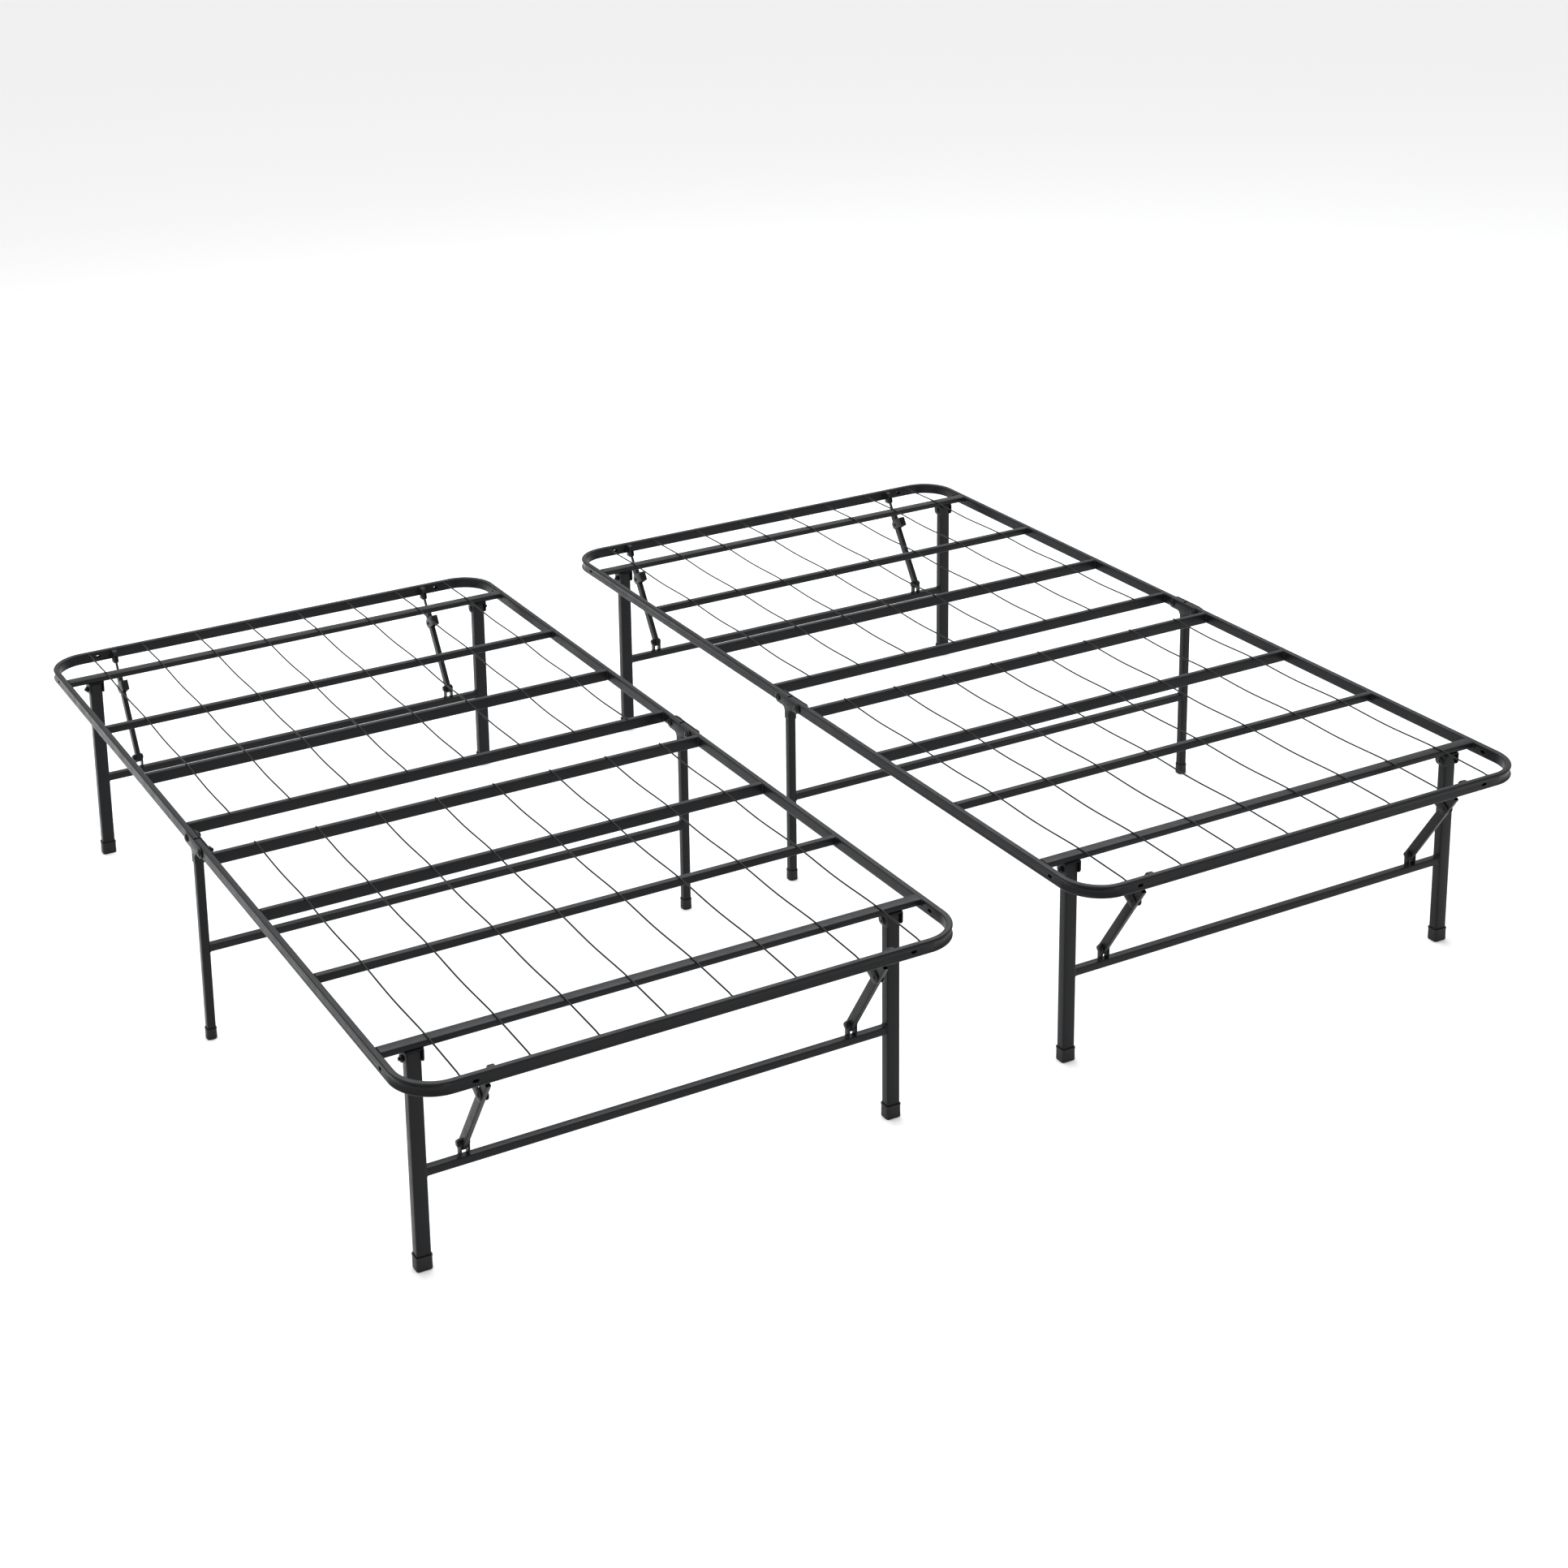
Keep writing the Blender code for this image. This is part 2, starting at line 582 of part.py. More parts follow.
def make_hinge_bolt(x, outward):
    """Bolt through both plates and the rail, with its head on the left and its nut on the right."""
    outer = RAIL_WIDTH / 2 + MOVING_GAP + HINGE_PLATE + FIT_GAP
    centre = (outward * HINGE_OFFSET, RAIL_MIDDLE)
    overlap = HINGE_PLATE / 4
    shank = bar_along_x(round_outline(HINGE_BOLT_RADIUS), centre, x - outer - overlap,
                        x + outer + NUT_HEIGHT + BOLT_STUB)
    head = bar_along_x(round_outline(BOLT_HEAD_RADIUS), centre, x - outer - BOLT_HEAD_HEIGHT, x - outer)
    nut = bar_along_x(round_outline(NUT_RADIUS, 6), centre, x + outer, x + outer + NUT_HEIGHT)
    return fuse([shank, head, nut])


def make_foot(x, y, width, depth, height, corner):
    """Cap over the end of a leg, open at the top."""
    outer = rounded_outline(width + 2 * FOOT_WALL, depth + 2 * FOOT_WALL, corner)
    pocket = rounded_outline(width + 2 * FIT_GAP, depth + 2 * FIT_GAP, TUBE_CORNER, 1)
    cap = bar_along_z(outer, (x, y), 0, height)
    return cut(cap, [bar_along_z(pocket, (x, y), FOOT_BASE, height * 2)])


# ---- Braces and latches ----

def brace_directions():
    """Along the brace from its lower pin to its upper pin, and across it, away from the bed's middle."""
    along = (RAIL_PIN - CLEVIS_PIN).normalized()
    return along, Vector((0, along.z, -along.y))


def brace_piece(outline, along_range, x_range):
    """A piece of the brace: the outline's points are places along and across it, from the lower pin."""
    along, across = brace_directions()
    shape = bmesh.new()
    first = min(x_range)
    depth = max(x_range) - first
    low = min(along_range)
    points = [CLEVIS_PIN + along * (low + u) + across * v + AXIS_X * first for u, v in outline]
    face = shape.faces.new([shape.verts.new(point) for point in points])
    pushed = bmesh.ops.extrude_face_region(shape, geom=[face])
    moved = [item for item in pushed["geom"] if isinstance(item, bmesh.types.BMVert)]
    bmesh.ops.translate(shape, verts=moved, vec=AXIS_X * depth)
    bmesh.ops.recalc_face_normals(shape, faces=shape.faces)
    return shape


def oblong(length, width):
    half = width / 2
    return [(0, -half), (length, -half), (length, half), (0, half)]


def pin_hole(place_along, radius, x_range):
    return brace_piece(round_outline(radius), (place_along, place_along), x_range)


def make_brace_bar(x):
    """Narrow flat bar inside the tube, with a wider eye on the rail bracket's pin."""
    half = BRACE_BAR_THICKNESS / 2
    x_range = (x - half, x + half)
    start = BRACE_LENGTH - BRACE_BAR_LENGTH
    bar = brace_piece(oblong(BRACE_BAR_LENGTH, BRACE_BAR_DEPTH), (start, BRACE_LENGTH), x_range)
    eye = pin_hole(BRACE_LENGTH, BRACE_EYE_RADIUS, x_range)
    hole = pin_hole(BRACE_LENGTH, BRACE_PIN_RADIUS + PIN_CLEARANCE, (x - 2 * half, x + 2 * half))
    return cut(fuse([bar, eye]), [hole])


def make_brace_tube(x):
    """Flat tube standing on the crossbar clevis, drilled near its top for the latch's rivets."""
    half = BRACE_TUBE_WIDTH / 2
    inner = half - TUBE_WALL
    length = BRACE_LENGTH - BRACE_TUBE_SHORT_OF_PIN + BRACE_TUBE_TAIL
    tube = brace_piece(oblong(length, BRACE_TUBE_DEPTH), (-BRACE_TUBE_TAIL, length), (x - half, x + half))
    bore = brace_piece(oblong(length * 2, BRACE_TUBE_DEPTH - 2 * TUBE_WALL), (-length / 2, length),
                       (x - inner, x + inner))
    lower_hole = pin_hole(0, BRACE_PIN_RADIUS + PIN_CLEARANCE, (x - BRACE_TUBE_WIDTH, x + BRACE_TUBE_WIDTH))
    latch_hole = pin_hole(LATCH_PLACE, LATCH_PIN_RADIUS + PIN_CLEARANCE,
                          (x - BRACE_TUBE_WIDTH, x + BRACE_TUBE_WIDTH))
    return cut(combine(tube, bore, "DIFFERENCE"), [lower_hole, latch_hole])


def latch_outline(radius, reach):
    """Side of the latch channel: round about the rivet, straight towards the bed's middle."""
    return [(radius, -reach)] + arc((0, 0), radius, 0, 180) + [(-radius, -reach)]


def make_latch(x):
    """Latch channel: a cheek on each side of the tube, joined by the grip, on two short rivets."""
    inner = BRACE_TUBE_WIDTH / 2 + MOVING_GAP
    outer = inner + LATCH_PLATE
    rivet_end = BRACE_TUBE_WIDTH / 2 - TUBE_WALL - MOVING_GAP
    place_along = (LATCH_PLACE, LATCH_PLACE)
    block = brace_piece(latch_outline(LATCH_RADIUS, LATCH_REACH), place_along, (x - outer, x + outer))
    space = brace_piece(latch_outline(LATCH_RADIUS * 2, LATCH_REACH - LATCH_PLATE), place_along,
                        (x - inner, x + inner))
    shapes = [combine(block, space, "DIFFERENCE")]
    for _, side in SIDES:
        ends = (x + side * rivet_end, x + side * (inner + LATCH_PLATE / 2))
        shapes.append(pin_hole(LATCH_PLACE, LATCH_PIN_RADIUS, ends))
    return fuse(shapes)


# ---- Assembly ----

def build_half(unit, unit_x, half, outward, coat, dark, plastic):
    """Half deck, end leg frame, feet, braces and latches, each on its joint."""
    prefix = unit + "_" + half + "_"
    hinge = Vector((0, outward * HINGE_OFFSET, RAIL_MIDDLE))
    leg_hinge = outward_point(LEG_PIVOT, outward)
    place(prefix + "rail", face_outward(make_rail(), outward), coat, unit_x, hinge)
    place(prefix + "slats", face_outward(make_slats(), outward), coat, unit_x, hinge)
    place(prefix + "legs", face_outward(make_end_legs(), outward), coat, unit_x, leg_hinge)
    for label, side in SIDES:
        foot = make_foot(side * LEG_X, LEG_Y, LEG_WIDTH, LEG_DEPTH, FOOT_HEIGHT, FOOT_CORNER)
        place(prefix + "foot_" + label, face_outward(foot, outward), plastic, unit_x, leg_hinge)
        x = side * BRACE_X
        place(prefix + "brace_bar_" + label, face_outward(make_brace_bar(x), outward), coat, unit_x,
              outward_point(RAIL_PIN, outward))
        place(prefix + "brace_tube_" + label, face_outward(make_brace_tube(x), outward), coat, unit_x,
              outward_point(CLEVIS_PIN, outward))
        latch_pivot = outward_point(LATCH_PIVOT, outward) + AXIS_X * x
        place(prefix + "latch_" + label, face_outward(make_latch(x), outward), dark, unit_x, latch_pivot)


def build_unit(unit, share, coat, dark, plastic):
    unit_x = share * UNIT_SPACING - SIDE_SHIFT
    floor = Vector((0, 0, 0))
    place(unit + "_middle_legs", make_middle_legs(), coat, unit_x, floor)
    for label, side in SIDES:
        x = side * RAIL_X
        foot = make_foot(x, 0, MID_LEG_WIDTH, MID_LEG_WIDTH, MID_FOOT_HEIGHT, MID_FOOT_CORNER)
        place(unit + "_middle_foot_" + label, foot, plastic, unit_x, floor)
        for half, outward in HALVES:
            hinge = Vector((x, outward * HINGE_OFFSET, RAIL_MIDDLE))
            place(unit + "_" + half + "_bolt_" + label, make_hinge_bolt(x, outward), dark, unit_x, hinge)
    for half, outward in HALVES:
        build_half(unit, unit_x, half, outward, coat, dark, plastic)


def main():
    clear_scene()
    coat = make_material("satin_black_coat", *COAT_FINISH)
    dark = make_material("blackened_steel", *DARK_FINISH)
    plastic = make_material("black_plastic", *PLASTIC_FINISH)
    for unit, share in UNITS:
        build_unit(unit, share, coat, dark, plastic)


main()
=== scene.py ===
"""Looks of two matching black folding bed frames: tubes, welds, wires, bolts, braces and foot caps."""
import json
import math

import bmesh
import bpy
from mathutils import Matrix, Vector


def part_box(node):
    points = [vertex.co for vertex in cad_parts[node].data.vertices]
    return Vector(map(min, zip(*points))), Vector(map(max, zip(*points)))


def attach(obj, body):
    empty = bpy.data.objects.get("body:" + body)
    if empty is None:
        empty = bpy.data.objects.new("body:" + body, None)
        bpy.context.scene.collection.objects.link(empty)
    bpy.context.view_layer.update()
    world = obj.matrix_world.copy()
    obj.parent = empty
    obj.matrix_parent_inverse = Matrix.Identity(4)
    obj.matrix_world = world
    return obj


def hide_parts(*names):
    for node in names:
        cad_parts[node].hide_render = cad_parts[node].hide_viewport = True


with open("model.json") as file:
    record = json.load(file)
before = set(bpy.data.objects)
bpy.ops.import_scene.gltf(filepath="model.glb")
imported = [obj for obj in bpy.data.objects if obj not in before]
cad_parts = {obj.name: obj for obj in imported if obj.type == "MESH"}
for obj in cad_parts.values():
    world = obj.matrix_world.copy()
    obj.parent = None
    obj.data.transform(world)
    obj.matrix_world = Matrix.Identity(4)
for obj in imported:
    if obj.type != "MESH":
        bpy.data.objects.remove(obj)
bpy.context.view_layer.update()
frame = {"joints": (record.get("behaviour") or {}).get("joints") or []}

# Stock sizes of the frame's tubes, plates and fasteners
RAIL_WIDTH = 0.0115
RAIL_HEIGHT = 0.022
RAIL_CORNER = 0.0028
TUBE_WALL = 0.0012
BEND_RADIUS = 0.075
BEND_DENT = 0.005
BEND_STEPS = 20
RAIL_END_GAP = 0.0025
SLOT_LENGTH = 0.011
SLOT_HEIGHT = 0.0055
END_SLOT_FROM_SIDE = 0.1103
SIDE_SLOT_FROM_END = 0.1025
MIDDLE_SLAT_FROM_MIDDLE = 0.068
SLAT_GAP_GROWTH = 0.010
SLAT_WIDTHS = (0.022, 0.013, 0.0112, 0.0112)
SLAT_HEIGHTS = (0.011, 0.0145, 0.022, 0.022)
SLAT_CORNER = 0.0022
WIRE_COUNT = 8
WIRE_RADIUS = 0.0015
WIRE_SEAT = 0.0006
WIRE_SAG = 0.003
WIRE_DROP_AT_RAIL = 0.0035
OUTER_WIRE_FROM_SIDE = 0.0903
LEG_WIDTH = 0.025
LEG_DEPTH = 0.019
LEG_CORNER = 0.0032
LEG_TOP_ABOVE_PIVOT = 0.0095
MID_LEG_WIDTH = 0.016
MID_LEG_CORNER = 0.003
MID_LEG_TOP_GAP = 0.0015
CROSSBAR_DEPTH = 0.015
CROSSBAR_HEIGHT = 0.014
CROSSBAR_CORNER = 0.0022
MID_CROSSBAR_TOP = 0.185
CLEVIS_PIN_ABOVE_BAR = 0.022
PLATE = 0.0022
MOVING_GAP = 0.0005
FIT_GAP = 0.0003
FOOT_WALL = 0.002
FOOT_FLOOR = 0.005
FOOT_CORNER = 0.0045
MID_FOOT_CORNER = 0.0065
BRACE_TUBE_WIDTH = 0.009
BRACE_TUBE_DEPTH = 0.0175
BRACE_BAR_THICKNESS = 0.004
BRACE_BAR_DEPTH = 0.0064
BRACE_BAR_LENGTH = 0.135
BRACE_EYE_RADIUS = 0.006
BRACE_TUBE_SHORT_OF_PIN = 0.026
BRACE_TUBE_TAIL = 0.009
RAIL_BRACKET_BELOW_TOP = 0.0022
RAIL_BRACKET_TOP_DEPTH = 0.010
RAIL_BRACKET_EYE = 0.0078
CLEVIS_GAP = 0.0115
CLEVIS_PLATE = 0.0025
CLEVIS_DEPTH = 0.013
LATCH_RADIUS = 0.0105
LATCH_REACH = 0.030
LATCH_RIBS = 5
LATCH_RIB = 0.0012
LATCH_RIB_SPACING = 0.0032
LATCH_PIN_RADIUS = 0.0019
LEG_BRACKET_DEPTH = 0.028
LEG_BRACKET_BELOW_PIVOT = 0.0095
LEG_BRACKET_CORNER = 0.008
LEG_BRACKET_STRIP = 0.0016
STEM_BELOW_RAIL = 0.024
STEM_HALF_WIDTH = 0.0068
HINGE_PLATE_RADIUS = 0.0108
HINGE_HOLE = 0.0086
PIN_RADIUS = 0.003
BEAD_RADIUS = 0.0013
PLATE_BEAD_RADIUS = 0.0012
PIN_HEAD = 0.0045
LEG_BOLT_HEAD = 0.0072
LEG_BOLT_NUT = 0.0058
CLEVIS_BOLT_HEAD = 0.0055
CLEVIS_BOLT_NUT = 0.0057
HINGE_BOLT_RADIUS = 0.0039
HINGE_BOLT_HEAD = 0.0074
HINGE_BOLT_NUT = 0.0077

# The radius at which a turned profile closes on its axis
TIP = 0.0001

# The share of half a width that still bevels to a round end, on plates and on cutters
FULL_ROUND = 0.98
ROUND_CUT = 0.99

AXIS_X = Vector((1, 0, 0))
AXIS_Y = Vector((0, 1, 0))
AXIS_Z = Vector((0, 0, 1))
UNITS = ("a", "b")
HALVES = (("near", -1), ("far", 1))
SIDES = (("left", -1), ("right", 1))

# Places read from the frame, about the middle of one bed
joint_places = {joint["name"]: Vector(joint.get("pos_m", (0, 0, 0))) for joint in frame["joints"]}
unit_x = {unit: joint_places[unit + "_far_deck_fold"].x for unit in UNITS}
deck_hinge = joint_places["a_far_deck_fold"]
leg_hinge = joint_places["a_far_leg_fold"]
rail_pin = joint_places["a_far_upper_brace_turn"]
clevis_pin = joint_places["a_far_lower_brace_turn"]
rail_low, rail_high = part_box("a_far_rail")
foot_low, foot_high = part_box("a_far_foot_right")
mid_foot_low, mid_foot_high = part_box("a_middle_foot_right")
half_width = (rail_high.x - rail_low.x) / 2
end_y = rail_high.y
rail_x = half_width - RAIL_WIDTH / 2
rail_y = end_y - RAIL_WIDTH / 2
rail_middle = deck_hinge.z
deck_top = rail_middle + RAIL_HEIGHT / 2
end_face = end_y - RAIL_WIDTH
leg_x = (foot_low.x + foot_high.x) / 2 - unit_x["a"]
leg_y = leg_hinge.y
brace_x = joint_places["a_far_latch_right_press"].x - unit_x["a"]
latch_pivot = joint_places["a_far_latch_right_press"]
end_bar_top = clevis_pin.z - CLEVIS_PIN_ABOVE_BAR


# ---- Shape tools ----

def rounded_face(width, height, corner, segments=5):
    """A flat face in the YZ plane with rounded corners: width along Y, height along Z."""
    shape = bmesh.new()
    ends = ((1, 1), (-1, 1), (-1, -1), (1, -1))
    corners = [shape.verts.new((0, y * width / 2, z * height / 2)) for y, z in ends]
    shape.faces.new(corners)
    if corner:
        bmesh.ops.bevel(shape, geom=corners, offset=corner, segments=segments, profile=0.5,
                        affect="VERTICES", material=-1)
    return shape


def thicken(shape, along):
    """Push every face of a flat shape along a vector, to make a solid."""
    pushed = bmesh.ops.extrude_face_region(shape, geom=shape.faces[:])
    moved = [item for item in pushed["geom"] if isinstance(item, bmesh.types.BMVert)]
    bmesh.ops.translate(shape, verts=moved, vec=along)
    bmesh.ops.recalc_face_normals(shape, faces=shape.faces)
    return shape


def move(shape, matrix):
    bmesh.ops.transform(shape, matrix=matrix, verts=shape.verts)
    return shape


def shift(shape, x=0.0, y=0.0, z=0.0):
    bmesh.ops.translate(shape, verts=shape.verts, vec=(x, y, z))
    return shape


def bar_x(width, height, corner, start, end, y, z):
    """Rounded bar along X: width along Y and height along Z."""
    return shift(thicken(rounded_face(width, height, corner), AXIS_X * (end - start)), start, y, z)


def bar_z(width, depth, corner, low, high, x, y):
    """Rounded bar along Z: width along X and depth along Y."""
    shape = thicken(rounded_face(depth, width, corner), AXIS_X * (high - low))
    move(shape, Matrix.Rotation(math.radians(-90), 4, "Y"))
    return shift(shape, x, y, low)


def bar_y(width, height, corner, start, end, x, z):
    """Rounded bar along Y: width along X and height along Z."""
    shape = thicken(rounded_face(width, height, corner), AXIS_X * (end - start))
    move(shape, Matrix.Rotation(math.radians(90), 4, "Z"))
    return shift(shape, x, start, z)


def open_ends(shape, direction, wall):
    """Take a bar's end faces off and give the skin a wall, as a cut tube has."""
    ends = [face for face in shape.faces if abs(face.normal.dot(direction)) > 0.999]
    bmesh.ops.delete(shape, geom=ends, context="FACES_ONLY")
    bmesh.ops.recalc_face_normals(shape, faces=shape.faces)
    bmesh.ops.solidify(shape, geom=shape.faces[:], thickness=wall)
    bmesh.ops.recalc_face_normals(shape, faces=shape.faces)
    return shape


def outline_plate(points, rounding, x, thickness):
    """A plate across X: outline points as (y, z), each corner rounded by its own radius."""
    shape = bmesh.new()
    corners = [shape.verts.new((x, y, z)) for y, z in points]
    shape.faces.new(corners)
    for corner, radius in zip(corners, rounding):
        if radius:
            bmesh.ops.bevel(shape, geom=[corner], offset=radius, segments=8, profile=0.5,
                            affect="VERTICES", material=-1)
    return soften(thicken(shape, AXIS_X * thickness), 0.00035)


def soften(shape, width, segments=2, angle=50):
    """Take the sharpness off the edges that turn more than an angle."""
    limit = math.radians(angle)
    sharp = [edge for edge in shape.edges if edge.is_manifold and edge.calc_face_angle() > limit]
    bmesh.ops.bevel(shape, geom=sharp, offset=width, segments=segments, profile=0.5, affect="EDGES",
                    material=-1, clamp_overlap=True)
    return shape


def turned(profile, y, z, steps=28):
    """A turned piece about a line along X: profile points as (x, radius)."""
    shape = bmesh.new()
    verts = [shape.verts.new((x, radius, 0)) for x, radius in profile]
    edges = [shape.edges.new(pair) for pair in zip(verts, verts[1:])]
    bmesh.ops.spin(shape, geom=verts + edges, cent=(0, 0, 0), axis=(1, 0, 0), angle=math.tau,
                   steps=steps, use_merge=True)
    bmesh.ops.remove_doubles(shape, verts=shape.verts, dist=1e-6)
    bmesh.ops.recalc_face_normals(shape, faces=shape.faces)
    return shift(shape, 0, y, z)


def pin(start, end, radius, y, z, steps=20):
    """A plain round pin along X."""
    return turned([(start, TIP), (start, radius), (end, radius), (end, TIP)], y, z, steps)


def dome_head(x, away, radius, height, y, z):
    """A low domed rivet or bolt head with a dimple, its flat side at x."""
    profile = [(0, TIP), (0, radius), (0.25, radius), (0.55, radius * 0.93), (0.85, radius * 0.68),
               (1, radius * 0.42), (0.98, radius * 0.3), (0.62, radius * 0.26), (0.6, TIP)]
    return turned([(x + away * height * share, reach) for share, reach in profile], y, z)


def hex_nut(x, away, radius, height, y, z):
    """A hexagon nut with its washer face at x."""
    nut = bmesh.new()
    bmesh.ops.create_circle(nut, cap_ends=True, segments=6, radius=radius)
    move(nut, Matrix.Rotation(math.radians(90), 4, "Y"))
    thicken(nut, AXIS_X * (away * height))
    around = [edge for edge in nut.edges if edge.calc_face_angle() > math.radians(80)]
    bmesh.ops.bevel(nut, geom=around, offset=height * 0.12, segments=2, profile=0.5, affect="EDGES",
                    material=-1)
    return shift(nut, x, y, z)


def thread_end(x, away, radius, length, y, z):
    """The stub of a bolt, with its thread as ridges."""
    profile = [(0, TIP), (0, radius)]
    ridges = 5
    for i in range(ridges):
        profile += [((i + 0.25) / ridges, radius), ((i + 0.75) / ridges, radius * 0.88)]
    profile += [(1, radius * 0.85), (1, TIP)]
    return turned([(x + away * length * share, reach) for share, reach in profile], y, z, 18)


def rod(points, radii, sides=10):
    """A round rod or weld bead through points, with a radius at each."""
    line = bpy.data.curves.new("rod", "CURVE")
    line.dimensions = "3D"
    line.bevel_depth = 1.0
    line.bevel_resolution = (sides - 4) // 2
    line.use_fill_caps = True
    run = line.splines.new("POLY")
    run.points.add(len(points) - 1)
    for point, place, radius in zip(run.points, points, radii):
        point.co = (*place, 1)
        point.radius = radius
    holder = bpy.data.objects.new("rod", line)
    bpy.context.scene.collection.objects.link(holder)
    evaluated = holder.evaluated_get(bpy.context.evaluated_depsgraph_get())
    mesh = bpy.data.meshes.new_from_object(evaluated)
    shape = bmesh.new()
    shape.from_mesh(mesh)
    bpy.data.objects.remove(holder)
    bpy.data.curves.remove(line)
    bpy.data.meshes.remove(mesh)
    bmesh.ops.remove_doubles(shape, verts=shape.verts, dist=1e-7)
    bmesh.ops.recalc_face_normals(shape, faces=shape.faces)
    return shape


def weld_bead(points, radius, phase=0.0):
    """A bead of weld along points, with the ripple that the torch leaves."""
    places = []
    for first, second in zip(points, points[1:]):
        steps = max(1, int((second - first).length / (radius * 0.75)))
        places += [first.lerp(second, i / steps) for i in range(steps)]
    places.append(points[-1])
    swell = 0.16
    radii = [radius * (1 + swell * math.sin(2.3 * i + phase)) for i in range(len(places))]
    return rod(places, radii, 8)


def together(shapes):
    """Put several shapes in one mesh."""
    whole = bmesh.new()
    for shape in shapes:
        mesh = bpy.data.meshes.new("piece")
        shape.to_mesh(mesh)
        shape.free()
        whole.from_mesh(mesh)
        bpy.data.meshes.remove(mesh)
    return whole


def carve(shape, cutters):
    """Cut shapes out of a solid."""
    holders = []
    for part in (shape, together(cutters)):
        mesh = bpy.data.meshes.new("operand")
        part.to_mesh(mesh)
        part.free()
        holder = bpy.data.objects.new("operand", mesh)
        bpy.context.scene.collection.objects.link(holder)
        holders.append(holder)
    modifier = holders[0].modifiers.new("carve", "BOOLEAN")
    modifier.operation = "DIFFERENCE"
    modifier.object = holders[1]
    evaluated = holders[0].evaluated_get(bpy.context.evaluated_depsgraph_get())
    result = bmesh.new()
    result.from_mesh(evaluated.to_mesh())
    evaluated.to_mesh_clear()
    for holder in holders:
        mesh = holder.data
        bpy.data.objects.remove(holder)
        bpy.data.meshes.remove(mesh)
    return result


# ---- Finishes ----

def new_socket(group, name, way, kind, value=None):
    socket = group.interface.new_socket(name, in_out=way, socket_type=kind)
    if value is not None:
        socket.default_value = value
    return socket


def noise(tree, coordinates, scale, detail=2.0):
    node = tree.nodes.new("ShaderNodeTexNoise")
    node.inputs["Detail"].default_value = detail
    tree.links.new(coordinates, node.inputs["Vector"])
    if isinstance(scale, float):
        node.inputs["Scale"].default_value = scale
    else:
        tree.links.new(scale, node.inputs["Scale"])
    return node.outputs["Fac"]


def spread(tree, value, low, high, to_low=0.0, to_high=1.0):
    node = tree.nodes.new("ShaderNodeMapRange")
    for name, number in (("From Min", low), ("From Max", high), ("To Min", to_low), ("To Max", to_high)):
        node.inputs[name].default_value = number
    tree.links.new(value, node.inputs["Value"])
    return node.outputs["Result"]


def make_coating_group():
    """Powder coat over steel: orange peel, fine grit, dust and scuffed patches."""
    group = bpy.data.node_groups.new("powder_coating", "ShaderNodeTree")
    new_socket(group, "Coat", "INPUT", "NodeSocketColor")
    new_socket(group, "Dusty Coat", "INPUT", "NodeSocketColor")
    new_socket(group, "Roughness", "INPUT", "NodeSocketFloat", 0.4)
    new_socket(group, "Peel Scale", "INPUT", "NodeSocketFloat", 900.0)
    new_socket(group, "Peel Height", "INPUT", "NodeSocketFloat", 0.00002)
    new_socket(group, "Colour", "OUTPUT", "NodeSocketColor")
    new_socket(group, "Sheen", "OUTPUT", "NodeSocketFloat")
    new_socket(group, "Normal", "OUTPUT", "NodeSocketVector")
    nodes = group.nodes
    links = group.links
    given = nodes.new("NodeGroupInput")
    result = nodes.new("NodeGroupOutput")
    place = nodes.new("ShaderNodeTexCoord").outputs["Object"]

    dust_patches = 7.0
    dust_specks = 1500.0
    scuff_streaks = 38.0
    fine_grit = 3200.0
    dust = spread(group, noise(group, place, dust_patches, 4.0), 0.42, 0.72)
    speck = spread(group, noise(group, place, dust_specks, 1.0), 0.6, 0.8)
    tone = nodes.new("ShaderNodeMath")
    tone.operation = "ADD"
    tone.use_clamp = True
    weak_dust = spread(group, dust, 0.0, 1.0, 0.0, 0.55)
    weak_speck = spread(group, speck, 0.0, 1.0, 0.0, 0.45)
    links.new(weak_dust, tone.inputs[0])
    links.new(weak_speck, tone.inputs[1])
    colour = nodes.new("ShaderNodeMix")
    colour.data_type = "RGBA"
    links.new(tone.outputs[0], colour.inputs["Factor"])
    links.new(given.outputs["Coat"], colour.inputs["A"])
    links.new(given.outputs["Dusty Coat"], colour.inputs["B"])
    links.new(colour.outputs["Result"], result.inputs["Colour"])

    streak = spread(group, noise(group, place, scuff_streaks, 3.0), 0.3, 0.7, -0.05, 0.07)
    sheen = nodes.new("ShaderNodeMath")
    sheen.operation = "ADD"
    links.new(given.outputs["Roughness"], sheen.inputs[0])
    links.new(streak, sheen.inputs[1])
    links.new(sheen.outputs[0], result.inputs["Sheen"])

    peel = noise(group, place, given.outputs["Peel Scale"], 2.0)
    grit = noise(group, place, fine_grit, 1.0)
    height = nodes.new("ShaderNodeMath")
    height.operation = "MULTIPLY_ADD"
    height.inputs[1].default_value = 0.35
    links.new(grit, height.inputs[0])
    links.new(peel, height.inputs[2])
    bump = nodes.new("ShaderNodeBump")
    links.new(height.outputs[0], bump.inputs["Height"])
    links.new(given.outputs["Peel Height"], bump.inputs["Distance"])
    links.new(bump.outputs["Normal"], result.inputs["Normal"])
    return group


